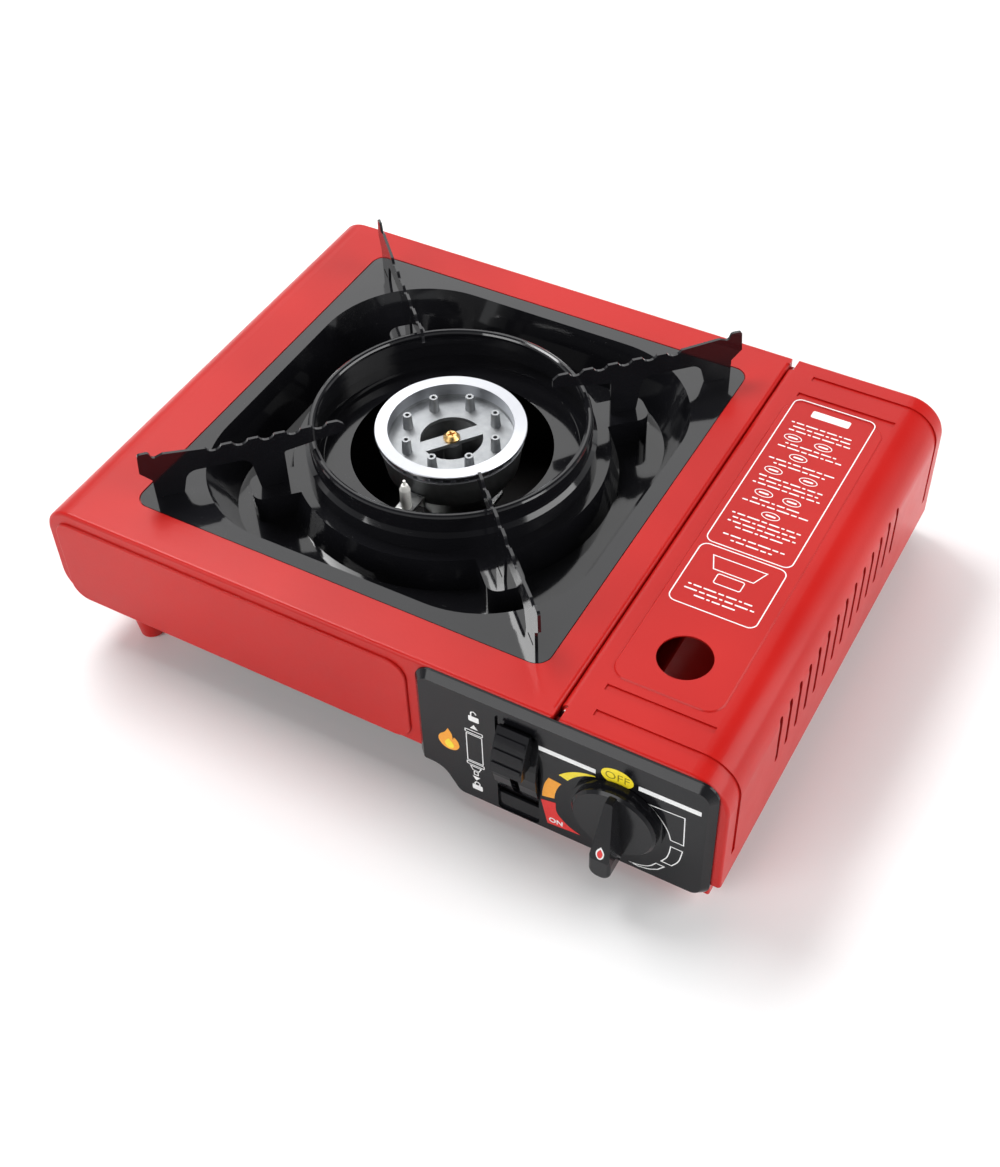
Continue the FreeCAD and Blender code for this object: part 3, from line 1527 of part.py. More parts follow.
def knob():
    """Round dial with a flange and a raised handle that slopes down to its pointer."""
    part = body("knob")
    rear = front - s.panel_proud - s.knob_gap
    face = rear - s.knob_disc
    step = rear - s.knob_flange
    pad(part, "y", step, rear, (0.0, 0.0, s.knob_radius))
    pad(part, "y", face, step, (0.0, 0.0, s.knob_radius - s.knob_step))
    face_y = float(face)
    soften(part, "Chamfer", s.knob_edge, lambda p: abs(p.y - face_y) < 0.01)
    crest = front - s.front_overhang
    handle = [
        (-s.wing_thin, s.wing_high, s.wing_thin / 2),
        (-s.wing_wide * 0.6, s.wing_high * 0.3),
        (-s.wing_wide, -s.wing_high * 0.7),
        (-s.wing_wide, -s.wing_low, s.wing_wide * 0.9),
        (s.wing_wide, -s.wing_low, s.wing_wide * 0.9),
        (s.wing_wide, -s.wing_high * 0.7),
        (s.wing_wide * 0.6, s.wing_high * 0.3),
        (s.wing_thin, s.wing_high, s.wing_thin / 2),
    ]
    pad(part, "y", crest, face, handle)
    slope = [
        (crest - 1.0, -s.wing_high * 0.6),
        (crest, -s.wing_high * 0.6),
        (crest + s.wing_slope * 0.35, 0.0),
        (crest + s.wing_slope, s.wing_high + 1.0),
        (crest - 1.0, s.wing_high + 1.0),
    ]
    pocket(part, "x", -s.wing_wide * 2, s.wing_wide * 2, slope)
    low = -s.wing_high * 0.65
    crest_y = float(crest)
    low_z = float(low)
    soften(part, "Fillet", s.wing_edge, lambda p: abs(p.y - crest_y) < 0.01 and p.z < low_z)
    pocket(part, "y", face, rear, (0.0, 0.0, s.spindle_radius * 0.75 + s.pivot_play / 5))
    move(part, knob_x, 0.0, knob_z)


def control_panel():
    """Moulded panel: skin and walls, curved track for the lever, hole for the spindle."""
    part = body("control_panel")
    face = front - s.panel_proud
    pad(part, "y", face, front, panel_outline(0.0))
    face_y = float(face)
    soften(part, "Chamfer", s.panel_chamfer, lambda p: abs(p.y - face_y) < 0.01)
    pocket(part, "y", face + s.panel_skin, front, panel_outline(s.panel_skin))
    for place in panel_bosses():
        pad(part, "y", face + s.panel_skin / 2, front, (place[0], place[1], s.fixing * 2.4))
        pocket(part, "y", face + s.panel_skin, front, (place[0], place[1], s.fixing + s.pivot_play))
    pad(part, "y", face + s.panel_skin / 2, front, (knob_x, knob_z, s.spindle_radius * 2.2))
    pocket(part, "y", face, front, (knob_x, knob_z, s.spindle_radius + s.play))
    half = s.track_width / 2
    reach = s.track_radius * sine(s.track_half)
    groove = rectangle(
        pivot_x - half, skirt + s.channel_low, pivot_x + half, skirt + s.channel_high, s.panel_skin
    )
    pocket(part, "y", face, face + s.channel_depth, groove)
    channel = rectangle(pivot_x - half, pivot_z - reach, pivot_x + half, pivot_z + reach)
    pocket(part, "y", face, front, channel)
    inner = s.track_radius - s.track_wall
    track = [(y + pivot_y, z + pivot_z) for y, z in sector(inner, s.track_radius, s.track_half)]
    pad(part, "x", pivot_x - half - s.play, pivot_x + half + s.play, track)
    clear = rectangle(pivot_x - half * 2, pivot_z - reach * 2, pivot_x + half * 2, pivot_z + reach * 2)
    pocket(part, "y", front, front + s.track_radius, clear)
    half_arm = s.arm_width / 2 + s.play * 2
    lowest = pivot_z - s.track_radius * sine(s.lever_turn - s.lever_rest) - half_arm
    highest = pivot_z + s.track_radius * sine(s.lever_rest) + half_arm
    narrow = s.lever_slot / 2
    slot = rectangle(pivot_x - narrow, lowest, pivot_x + narrow, highest)
    pocket(part, "y", face - s.track_radius / 4, front, slot)


def panel_bosses():
    """Where screws from behind hold the panel: near its two left corners and right corners."""
    high = top - s.panel_drop - s.boss_inset
    low = skirt + s.panel_bottom + s.boss_inset
    near = left + s.panel_from_left + s.boss_inset
    far = left + s.panel_right - s.boss_inset
    return [(near, high), (far, high - s.boss_inset), (near + s.boss_inset * 3, low), (far, low)]


def panel_outline(inset):
    """Outline of the panel, with the sweep at its lower left."""
    start = left + s.panel_from_left
    end = left + s.panel_right
    high = top - s.panel_drop
    low = skirt + s.panel_bottom
    sweep = skirt + s.sweep_height
    return [
        (start + inset, high - inset, s.panel_corner - inset),
        (start + inset, sweep + inset, s.panel_corner / 2 + inset / 4),
        (start + s.sweep_start + inset, sweep + inset, s.sweep_radius + inset),
        (start + s.sweep_end + inset, low + inset, s.sweep_radius - inset),
        (end - inset, low + inset, s.panel_corner - inset),
        (end - inset, high - inset, s.panel_corner - inset),
    ]


def panel_screws():
    """Screws from behind the front cap into the panel's bosses."""
    part = body("panel_screws")
    seat = s.sheet
    tip = -s.panel_proud + s.panel_skin + s.play
    for x, z in panel_bosses():
        profile = [
            (0.0, tip),
            (s.fixing, tip),
            (s.fixing, seat),
            (s.fixing * 2, seat),
            (s.fixing * 2, seat + s.fixing),
            (0.0, seat + s.fixing * 1.4),
        ]
        turned(part, "Revolution", profile, (x, front, z), "y")


def lid():
    """Cover of the cartridge bay: top, right wall, end lips, hinge curl, window and vents."""
    part = body("lid")
    thick = s.lid_lip
    wall = s.lid_sheet
    low = skirt + s.lid_wall_bottom
    band = [
        (hinge_x, top),
        (right, top, s.lid_corner),
        (right, low),
        (right - thick, low),
        (right - thick, top - thick, s.lid_corner - thick),
        (hinge_x, top - thick),
    ]
    pad(part, "y", front, back, band)
    front_y = float(front)
    back_y = float(back)
    soften(part, "Fillet", s.cap_edge - s.play, lambda p: min(abs(p.y - front_y), abs(p.y - back_y)) < 0.01
           and outside_band(p))
    inner = [
        (hinge_x - 1.0, top - wall),
        (right - wall, top - wall, s.lid_corner - wall),
        (right - wall, low - 1.0),
        (right - thick - 1.0, low - 1.0),
        (right - thick - 1.0, top - thick - 1.0),
        (hinge_x - 1.0, top - thick - 1.0),
    ]
    pocket(part, "y", front + wall, back - wall, inner)
    lip_end = rectangle(hinge_x - 1.0, top - thick - 1.0, hinge_x + s.curl_radius * 2, top - wall)
    pocket(part, "y", front - 1.0, back + 1.0, lip_end)
    near = front + s.ear_from_front + s.ear_sheet + s.play
    far = back - s.ear_from_front - s.ear_sheet - s.play
    pad(part, "y", near, far, (hinge_x, hinge_z, s.curl_radius))
    pocket(part, "y", near, far, (hinge_x, hinge_z, s.curl_radius - wall))
    plateau = rectangle(
        seam + s.plateau_from_seam,
        front + s.plateau_from_front,
        right - s.plateau_from_right,
        back - s.plateau_from_front,
        s.plateau_corner,
    )
    pad(part, "z", top - wall / 2, top + s.plateau_height, plateau)
    crest_z = float(top + s.plateau_height)
    soften(part, "Chamfer", s.plateau_height * 0.9, lambda p: abs(p.z - crest_z) < 0.01)
    hollow = rectangle(
        seam + s.plateau_from_seam + wall,
        front + s.plateau_from_front + wall,
        right - s.plateau_from_right - wall,
        back - s.plateau_from_front - wall,
        s.plateau_corner - wall,
    )
    pocket(part, "z", top - wall * 2, top - wall + s.plateau_height, hollow)
    for place, start, end in (
        (s.short_bead, s.short_bead_start, None),
        (s.long_bead, s.long_bead_start, s.long_bead_end),
    ):
        for near in (front + place, back - place - s.bead_width):
            pressed_bead(part, near, start, end)
    sight = (left + s.sight_from_left, front + s.sight_from_front, s.sight_radius)
    pocket(part, "z", top - wall * 2, top + wall, sight)
    first = front + s.vent_first
    vent = rectangle(first, skirt + s.vent_bottom, first + s.vent_width, skirt + s.vent_top, s.vent_width * 0.45)
    slot = pocket(part, "x", right - wall * 2, right + wall, vent)
    along(part, [slot], "Y_Axis", s.vent_pitch * (s.vent_count - 1), s.vent_count)


def pressed_bead(part, near, start, end):
    """Groove pressed into the lid: across the top, and down the wall where an end is given."""
    wall = s.lid_sheet
    depth = s.bead_depth
    from_x = seam + start
    edge = s.bead_edge

    def band(outer, inner, spread):
        if end is None:
            return rectangle(from_x - spread, top - inner, right - s.lid_corner + spread, top - outer)
        return [
            (from_x - spread, top - outer),
            (right - outer, top - outer, s.lid_corner - outer),
            (right - outer, skirt + end - spread),
            (right - inner, skirt + end - spread),
            (right - inner, top - inner, s.lid_corner - inner),
            (from_x - spread, top - inner),
        ]

    pad(part, "y", near - edge, near + s.bead_width + edge, band(wall / 2, wall + depth, edge))
    pocket(part, "y", near, near + s.bead_width, band(-depth, depth, depth * 0))


def outside_band(point):
    """True on the lid's outer surface, away from its lower and inner ends."""
    inner_x = float(right - s.lid_lip / 2)
    inner_z = float(top - s.lid_lip / 2)
    centre_x = float(right - s.lid_corner)
    centre_z = float(top - s.lid_corner)
    reach = math.hypot(point.x - centre_x, point.z - centre_z)
    on_bend = point.x > centre_x and point.z > centre_z
    if on_bend:
        return reach > float(s.lid_corner) - 0.01
    return point.x > inner_x + float(s.lid_lip) / 2 - 0.01 or point.z > inner_z + float(s.lid_lip) / 2 - 0.01


def save(folder):
    """Check every object and write each sub-part as a STEP file."""
    doc.recompute()
    for thing in doc.Objects:
        if "Invalid" in thing.State or "Error" in thing.State:
            raise RuntimeError("%s failed: %s" % (thing.Label, thing.State))
    os.makedirs(folder, exist_ok=True)
    for node in nodes:
        if node.Shape.isNull() or not node.Shape.isValid():
            raise RuntimeError("%s has no valid shape" % node.Label)
        node.Shape.exportStep(os.path.join(folder, node.Label + ".step"))


build_all()
save("parts")
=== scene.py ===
import math

import bmesh
import bpy
from bpy.props import FloatProperty, FloatVectorProperty, PointerProperty
from mathutils import Matrix, Vector


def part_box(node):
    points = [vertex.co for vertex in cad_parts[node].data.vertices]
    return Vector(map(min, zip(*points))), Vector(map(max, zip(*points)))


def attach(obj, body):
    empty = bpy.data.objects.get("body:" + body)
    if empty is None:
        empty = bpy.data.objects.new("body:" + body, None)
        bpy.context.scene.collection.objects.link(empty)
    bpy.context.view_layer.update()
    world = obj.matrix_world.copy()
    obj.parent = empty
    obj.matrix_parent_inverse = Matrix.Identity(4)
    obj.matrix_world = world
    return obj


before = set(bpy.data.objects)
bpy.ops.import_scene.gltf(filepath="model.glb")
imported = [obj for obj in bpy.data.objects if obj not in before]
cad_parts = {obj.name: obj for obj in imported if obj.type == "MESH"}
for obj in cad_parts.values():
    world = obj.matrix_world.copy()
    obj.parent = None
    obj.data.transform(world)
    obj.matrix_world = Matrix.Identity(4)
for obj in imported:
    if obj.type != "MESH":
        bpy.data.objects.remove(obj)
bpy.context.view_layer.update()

bl_info = {
    "name": "Cartridge stove looks",
    "version": (1, 0, 0),
    "blender": (4, 5, 0),
    "location": "View3D > Sidebar > Stove",
    "description": "Finishes, print and studio for a table-top stove",
    "category": "Object",
}

LID_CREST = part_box("lid")[1].z

# Places are in metres in the model's frame; print is drawn in millimetres from the casing's
# front left lower corner.
LEFT = -0.1715
FRONT = -0.1171
SKIRT = 0.025
MM = 0.001
DIAL = (297.3, 18.7)
IMAGE_WIDTH = 1000.0
PANEL_FACE = 0.004
HANDLE_FACE = 0.0215
HANDLE_BEND = 11.4
HANDLE_SLOPE = 2.8 / 11.4
RIM_INNER = 0.0297
RIM_DEPTH = 0.0064
RING_DEPTH = 0.00001
MARK_DEPTH = 0.000006

RED_SHEET = ("rear_plate", "top_shell", "feet", "bulkhead", "lid", "stop_plate", "cartridge_cradle")
ENAMEL = (
    "drip_tray", "wind_ring", "pan_support_right_rear", "pan_support_left_rear",
    "pan_support_left_front", "pan_support_right_front",
)
CAST = ("burner_body", "valve_body")
ZINC = (
    "hinge_pins", "burner_stand", "stand_screws", "electrode_clip", "regulator_cap", "lever_stud",
    "lever_arm", "pusher_bar", "bar_guides", "pusher_plate", "panel_screws",
)
BRASS = ("burner_screw", "gas_jet", "valve_spindle")
PLASTIC = ("control_panel", "lever_cap", "knob")
MATT_PLASTIC = ("piezo_unit", "piezo_plunger", "igniter_cam")


class StoveStage(bpy.types.PropertyGroup):
    """Camera and studio."""

    azimuth: FloatProperty(
        name="Azimuth", description="Camera's turn from the front",
        default=math.radians(30.85), subtype="ANGLE",
    )
    elevation: FloatProperty(
        name="Elevation", description="Camera's height above level",
        default=math.radians(47.0), subtype="ANGLE",
    )
    roll: FloatProperty(
        name="Roll", description="Camera's roll",
        default=math.radians(-2.31), subtype="ANGLE",
    )
    focal: FloatProperty(
        name="Focal length", description="In pixels of a 1000 pixel wide image",
        default=1645.0, min=100.0,
    )
    eye: FloatVectorProperty(
        name="Eye", description="Where the camera stands",
        default=(0.2875, -0.4791, 0.604), subtype="TRANSLATION", unit="LENGTH",
    )
    ambient: FloatProperty(
        name="Ambient", description="Light from all round",
        default=0.55, min=0.0,
    )
    key: FloatProperty(
        name="Key", description="Power of the large light over the back",
        default=20.0, min=0.0,
    )
    fill: FloatProperty(
        name="Fill", description="Power of the light at the front left",
        default=14.0, min=0.0,
    )
    sheen: FloatProperty(
        name="Sheen", description="Power of the broad light that the flat enamel mirrors",
        default=11.0, min=0.0,
    )
    side: FloatProperty(
        name="Side", description="Power of the light at the right",
        default=22.0, min=0.0,
    )


class StoveFinish(bpy.types.PropertyGroup):
    """Sizes and strengths of the finishes."""

    peel: FloatProperty(
        name="Orange peel", description="Depth of the paint's unevenness",
        default=0.00003, min=0.0, unit="LENGTH",
    )
    waviness: FloatProperty(
        name="Waviness", description="Depth of the enamel's waves",
        default=0.00025, min=0.0, unit="LENGTH",
    )
    grain: FloatProperty(
        name="Cast grain", description="Depth of the cast surface",
        default=0.00008, min=0.0, unit="LENGTH",
    )
    lathe: FloatProperty(
        name="Lathe marks", description="Distance between the rings of the machined rim",
        default=0.0005, min=0.0, unit="LENGTH",
    )
    print_height: FloatProperty(
        name="Print height", description="How far the print stands off its surface",
        default=0.00006, min=0.0, unit="LENGTH",
    )


class Graph:
    """Node tree of one material."""

    def __init__(self, name):
        self.material = bpy.data.materials.new(name)
        self.material.use_nodes = True
        self.tree = self.material.node_tree
        self.shader = self.tree.nodes["Principled BSDF"]
        self.place = self.add("ShaderNodeTexCoord").outputs["Object"]

    def add(self, kind, **settings):
        made = self.tree.nodes.new(kind)
        for key, value in settings.items():
            setattr(made, key, value)
        return made

    def feed(self, socket, value):
        if isinstance(value, bpy.types.NodeSocket):
            self.tree.links.new(value, socket)
        else:
            socket.default_value = value

    def surface(self, **values):
        """Values or links for the shader's sockets; a space in a socket's name is an underscore."""
        for key, value in values.items():
            self.feed(self.shader.inputs[key.replace("_", " ")], value)
        return self.material

    def noise(self, size, detail=3.0, stretch=None):
        """Noise whose features are about this size in metres."""
        made = self.add("ShaderNodeTexNoise")
        made.inputs["Scale"].default_value = 1.0 / size
        made.inputs["Detail"].default_value = detail
        source = self.vector("MULTIPLY", self.place, stretch) if stretch else self.place
        self.feed(made.inputs["Vector"], source)
        return made.outputs["Fac"]

    def cells(self, size):
        """Random grey per cell."""
        made = self.add("ShaderNodeTexVoronoi")
        made.inputs["Scale"].default_value = 1.0 / size
        self.feed(made.inputs["Vector"], self.place)
        return self.math("FRACT", self.math("MULTIPLY", self.split(made.outputs["Color"])[0], 3.7))

    def vector(self, operation, first, second=(0.0, 0.0, 0.0)):
        made = self.add("ShaderNodeVectorMath", operation=operation)
        self.feed(made.inputs[0], first)
        self.feed(made.inputs[1], second)
        return made.outputs["Value" if operation == "LENGTH" else "Vector"]

    def split(self, vector):
        made = self.add("ShaderNodeSeparateXYZ")
        self.feed(made.inputs[0], vector)
        return made.outputs

    def math(self, operation, first, second=0.0):
        made = self.add("ShaderNodeMath", operation=operation)
        self.feed(made.inputs[0], first)
        self.feed(made.inputs[1], second)
        return made.outputs[0]

    def span(self, value, low, high, from_low=0.0, from_high=1.0):
        """A value brought from one range into another and clamped."""
        made = self.add("ShaderNodeMapRange")
        for socket, number in zip(made.inputs[:5], (value, from_low, from_high, low, high)):
            self.feed(socket, number)
        return made.outputs[0]

    def colour(self, share, first, second):
        made = self.add("ShaderNodeMix", data_type="RGBA")
        self.feed(made.inputs["Factor"], share)
        self.feed(made.inputs[6], first + (1.0,) if isinstance(first, tuple) else first)
        self.feed(made.inputs[7], second + (1.0,) if isinstance(second, tuple) else second)
        return made.outputs[2]

    def relief(self, height, depth, under=None):
        """Bump of a height field with this depth in metres."""
        made = self.add("ShaderNodeBump")
        made.inputs["Strength"].default_value = 1.0
        self.feed(made.inputs["Distance"], depth)
        self.feed(made.inputs["Height"], height)
        if under:
            self.feed(made.inputs["Normal"], under)
        return made.outputs[0]

    def radius(self, centre):
        """Distance from an upright axis."""
        flat = self.vector("MULTIPLY", self.vector("SUBTRACT", self.place, centre), (1.0, 1.0, 0.0))
        return self.vector("LENGTH", flat)


def red_paint(finish, name="red_paint", painted_shade_box=None):
    """Baked gloss paint on pressed sheet, a little uneven in depth, and near-black painted shade in a box if
    one is given.
    """
    graph = Graph(name)
    tone = graph.span(graph.noise(0.08, 2.0), 0.0, 1.0, 0.35, 0.65)
    fine = graph.noise(0.0022, 2.0)
    dust = graph.span(graph.noise(0.0006, 1.0), 0.0, 1.0, 0.72, 0.8)
    base = graph.colour(tone, (0.44, 0.008, 0.006), (0.50, 0.012, 0.009))
    base = graph.colour(graph.math("MULTIPLY", dust, 0.2), base, (0.60, 0.05, 0.04))
    normal = graph.relief(fine, finish.peel)
    rough = graph.span(graph.noise(0.012, 3.0), 0.30, 0.38)
    if painted_shade_box:
        parts = graph.split(graph.place)
        inside = 1.0
        for axis in range(3):
            over = graph.math("GREATER_THAN", parts[axis], painted_shade_box[0][axis])
            under = graph.math("LESS_THAN", parts[axis], painted_shade_box[1][axis])
            inside = graph.math("MULTIPLY", graph.math("MULTIPLY", over, under), inside)
        # Painted shade: inside the box the paint's colour is swapped for near-black to stand in for shade,
        # not for a colour of the sheet.
        base = graph.colour(inside, base, (0.012, 0.011, 0.011))
    return graph.surface(
        Base_Color=base, Roughness=rough, Normal=normal, Coat_Weight=0.08, Coat_Roughness=0.12, IOR=1.28
    )


def black_enamel(finish):
    """Vitreous enamel: deep black, glassy, slightly wavy, with a few pinholes."""
    graph = Graph("black_enamel")
    waves = graph.noise(0.03, 1.0)
    pits = graph.span(graph.noise(0.0009, 1.0), 0.0, 1.0, 0.76, 0.82)
    normal = graph.relief(waves, finish.waviness)
    normal = graph.relief(pits, -finish.peel, normal)
    base = graph.colour(graph.noise(0.05, 2.0), (0.0055, 0.0055, 0.0065), (0.009, 0.009, 0.011))
    rough = graph.span(graph.noise(0.006, 3.0), 0.05, 0.12)
    return graph.surface(
        Base_Color=base, Roughness=rough, Normal=normal, Coat_Weight=0.3, Coat_Roughness=0.03, IOR=1.44
    )


def machined_head(finish):
    """Die-cast burner head: turned bright rim, grey cast floor and posts."""
    graph = Graph("machined_alloy")
    low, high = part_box("burner_head")
    centre = (low + high) / 2
    reach = graph.radius(tuple(centre))
    rim = graph.math("GREATER_THAN", reach, RIM_INNER)
    up = graph.split(graph.place)[2]
    above = graph.math("GREATER_THAN", up, high.z - RIM_DEPTH)
    bright = graph.math("MULTIPLY", rim, above)
    rings = graph.math("SINE", graph.math("MULTIPLY", reach, math.tau / finish.lathe))
    rings = graph.math("MULTIPLY", rings, graph.noise(0.0008, 2.0))
    grain = graph.noise(0.0007, 4.0)
    normal = graph.relief(grain, graph.math("MULTIPLY", graph.math("SUBTRACT", 1.0, bright), finish.grain))
    normal = graph.relief(rings, graph.math("MULTIPLY", bright, RING_DEPTH), normal)
    cast = graph.colour(graph.noise(0.004, 3.0), (0.26, 0.27, 0.28), (0.40, 0.41, 0.42))
    base = graph.colour(bright, cast, (0.52, 0.53, 0.56))
    rough = graph.span(bright, 0.5, 0.3)
    tangent = graph.add("ShaderNodeTangent", direction_type="RADIAL", axis="Z")
    return graph.surface(
        Base_Color=base, Metallic=1.0, Roughness=rough, Normal=normal,
        Anisotropic=graph.math("MULTIPLY", bright, 0.6), Tangent=tangent.outputs[0],
    )


def cast_alloy(finish):
    """Sand-grey die casting."""
    graph = Graph("cast_alloy")
    grain = graph.noise(0.0008, 4.0)
    base = graph.colour(graph.noise(0.005, 3.0), (0.16, 0.165, 0.17), (0.27, 0.275, 0.28))
    rough = graph.span(graph.noise(0.003, 2.0), 0.45, 0.6)
    normal = graph.relief(grain, finish.grain)
    return graph.surface(Base_Color=base, Metallic=1.0, Roughness=rough, Normal=normal)


def zinc_steel(finish):
    """Zinc-plated steel with a faint spangle and rolling lines."""
    graph = Graph("zinc_steel")
    spangle = graph.cells(0.004)
    lines = graph.noise(0.0006, 2.0, stretch=(0.05, 1.0, 1.0))
    base = graph.colour(spangle, (0.52, 0.53, 0.53), (0.66, 0.66, 0.64))
    uneven = graph.math("ADD", graph.math("MULTIPLY", spangle, 0.5), lines)
    rough = graph.span(uneven, 0.26, 0.42, 0.3, 1.2)
    normal = graph.relief(lines, finish.peel / 2)
    return graph.surface(Base_Color=base, Metallic=1.0, Roughness=rough, Normal=normal)


def brass(finish):
    """Turned brass, slightly tarnished."""
    graph = Graph("brass")
    tarnish = graph.span(graph.noise(0.002, 3.0), 0.0, 1.0, 0.4, 0.75)
    base = graph.colour(tarnish, (0.80, 0.53, 0.22), (0.50, 0.29, 0.10))
    rough = graph.span(tarnish, 0.22, 0.45)
    normal = graph.relief(graph.noise(0.0004, 1.0), finish.peel / 3)
    return graph.surface(Base_Color=base, Metallic=1.0, Roughness=rough, Normal=normal)


def ceramic(finish):
    """Glazed white ceramic with fine specks."""
    graph = Graph("white_ceramic")
    specks = graph.span(graph.noise(0.0007, 1.0), 0.0, 1.0, 0.7, 0.78)
    base = graph.colour(specks, (0.84, 0.83, 0.79), (0.55, 0.52, 0.47))
    rough = graph.span(graph.noise(0.003, 2.0), 0.16, 0.3)
    normal = graph.relief(graph.noise(0.002, 2.0), finish.peel)
    return graph.surface(Base_Color=base, Roughness=rough, Coat_Weight=0.3, Normal=normal)


def gloss_plastic(finish):
    """Injection-moulded black plastic, polished, with very faint flow marks."""
    graph = Graph("black_plastic")
    flow = graph.noise(0.02, 2.0, stretch=(1.0, 1.0, 0.4))
    grain = graph.noise(0.0005, 2.0)
    base = graph.colour(flow, (0.006, 0.006, 0.007), (0.010, 0.010, 0.012))
    rough = graph.span(graph.noise(0.008, 3.0), 0.12, 0.2)
    normal = graph.relief(grain, finish.peel / 6, graph.relief(flow, finish.waviness / 4))
    return graph.surface(Base_Color=base, Roughness=rough, Normal=normal, IOR=1.3)


def matt_plastic(finish):
    """Fine-textured plastic of the inner pieces."""
    graph = Graph("matt_plastic")
    grain = graph.noise(0.0004, 3.0)
    base = graph.colour(graph.noise(0.01, 2.0), (0.015, 0.015, 0.016), (0.03, 0.03, 0.031))
    return graph.surface(
        Base_Color=base, Roughness=graph.span(grain, 0.42, 0.6), Normal=graph.relief(grain, finish.peel / 2)
    )


def ink(name, base, other):
    """Screen-printed ink: dense, with a slight mottle and edge to edge sheen."""
    graph = Graph(name)
    mottle = graph.noise(0.0011, 3.0)
    tone = graph.colour(graph.span(mottle, 0.0, 1.0, 0.35, 0.7), base, other)
    return graph.surface(
        Base_Color=tone, Roughness=graph.span(mottle, 0.3, 0.45), Normal=graph.relief(mottle, MARK_DEPTH)
    )


def floor_finish():
    """Pale studio sweep with the faintest mottle."""
    graph = Graph("studio_floor")
    tone = graph.colour(graph.noise(0.15, 2.0), (0.88, 0.88, 0.88), (0.9, 0.9, 0.9))
    return graph.surface(Base_Color=tone, Roughness=graph.span(graph.noise(0.05, 2.0), 0.6, 0.7))


def dress(material, names):
    """Give CAD nodes a material."""
    for name in names:
        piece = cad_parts[name]
        if not piece.material_slots:
            piece.data.materials.append(material)
        for place in piece.material_slots:
            place.material = material


def on_panel(across, up, out):
    """A point on the control panel's face, out of it by so many metres."""
    return Vector((LEFT + across * MM, FRONT - PANEL_FACE - out, SKIRT + up * MM))


def on_lid(across, along, out):
    """A point on the lid's raised middle, above it by so many metres."""
    return Vector((LEFT + across * MM, FRONT + along * MM, LID_CREST + out))


def on_handle(across, up, out):
    """A point on the dial's handle: flat at the grip, then sloping back to the pointer."""
    slope = HANDLE_SLOPE * max(0.0, up - (DIAL[1] - HANDLE_BEND))
    return Vector((LEFT + across * MM, FRONT - HANDLE_FACE + slope * MM - out, SKIRT + up * MM))


def slab(name, outer, inner, surface, material, body, height):
    """A thin inlay with an outline, and with a hole if an inner outline is given."""
    mesh = bpy.data.meshes.new(name)
    work = bmesh.new()
    sunk = -height / 3
    rings = []
    for loop in (outer, inner):
        if loop:
            rings.append([[work.verts.new(surface(p[0], p[1], out)) for p in loop] for out in (sunk, height)])
    low, high = rings[0]
    count = len(low)
    for i in range(count):
        work.faces.new((low[i], low[i - 1], high[i - 1], high[i]))
    if inner:
        low_in, high_in = rings[1]
        for i in range(count):
            work.faces.new((low_in[i - 1], low_in[i], high_in[i], high_in[i - 1]))
            work.faces.new((high[i - 1], high_in[i - 1], high_in[i], high[i]))
            work.faces.new((low[i], low_in[i], low_in[i - 1], low[i - 1]))
    else:
        work.faces.new(high)
        work.faces.new(list(reversed(low)))
    bmesh.ops.recalc_face_normals(work, faces=work.faces)
    work.to_mesh(mesh)
    work.free()
    piece = bpy.data.objects.new(name, mesh)
    bpy.context.scene.collection.objects.link(piece)
    mesh.materials.append(material)
    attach(piece, body)


def drawn_in(loop, width):
    """The outline moved inwards by a width."""
    count = len(loop)
    area = sum(loop[i - 1][0] * loop[i][1] - loop[i][0] * loop[i - 1][1] for i in range(count))
    way = 1.0 if area > 0 else -1.0
    lines = []
    for i in range(count):
        start = Vector(loop[i - 1])
        end = Vector(loop[i])
        run = (end - start).normalized()
        shift = Vector((-run.y, run.x)) * width * way
        lines.append((start + shift, run))
    inner = []
    for i in range(count):
        one, along = lines[i]
        other, next_along = lines[(i + 1) % count]
        cross = along.x * next_along.y - along.y * next_along.x
        if abs(cross) < 0.02:
            inner.append(tuple(other))
            continue
        gap = other - one
        reach = (gap.x * next_along.y - gap.y * next_along.x) / cross
        inner.append(tuple(one + along * reach))
    return inner


def rounded(low_x, low_y, high_x, high_y, radius, steps=6):
    """A rectangle with rounded corners."""
    loop = []
    centres = (
        (high_x - radius, high_y - radius, 0), (low_x + radius, high_y - radius, 90),
        (low_x + radius, low_y + radius, 180), (high_x - radius, low_y + radius, 270),
    )
    for x, y, start in centres:
        for step in range(steps + 1):
            angle = math.radians(start + 90 * step / steps)
            loop.append((x + radius * math.cos(angle), y + radius * math.sin(angle)))
    return loop


def around_dial(start, end, near, far, steps=14):
    """A band about the dial: angles in degrees, and (radius at start, radius at end) of each edge."""
    inside = []
    outside = []
    for step in range(steps + 1):
        part = step / steps
        angle = math.radians(start + (end - start) * part)
        for loop, (first, last) in ((inside, near), (outside, far)):
            radius = first + (last - first) * part
            loop.append((DIAL[0] + radius * math.cos(angle), DIAL[1] + radius * math.sin(angle)))
    return inside + list(reversed(outside))


def smooth(points, steps=6):
    """An open curve through points."""
    places = [Vector(p) for p in points]
    places = [places[0] * 2 - places[1]] + places + [places[-1] * 2 - places[-2]]
    curve = []
    for i in range(1, len(places) - 2):
        a, b, c, d = places[i - 1:i + 3]
        for step in range(steps):
            t = step / steps
            curve.append(tuple(
                0.5 * (2 * b + (c - a) * t + (2 * a - 5 * b + 4 * c - d) * t * t
                       + (3 * b - a - 3 * c + d) * t ** 3)
            ))
    return curve + [tuple(places[-2])]


def ellipse(x, y, half_x, half_y, steps=40):
    """An oval."""
    angles = [math.tau * step / steps for step in range(steps)]
    return [(x + half_x * math.cos(a), y + half_y * math.sin(a)) for a in angles]


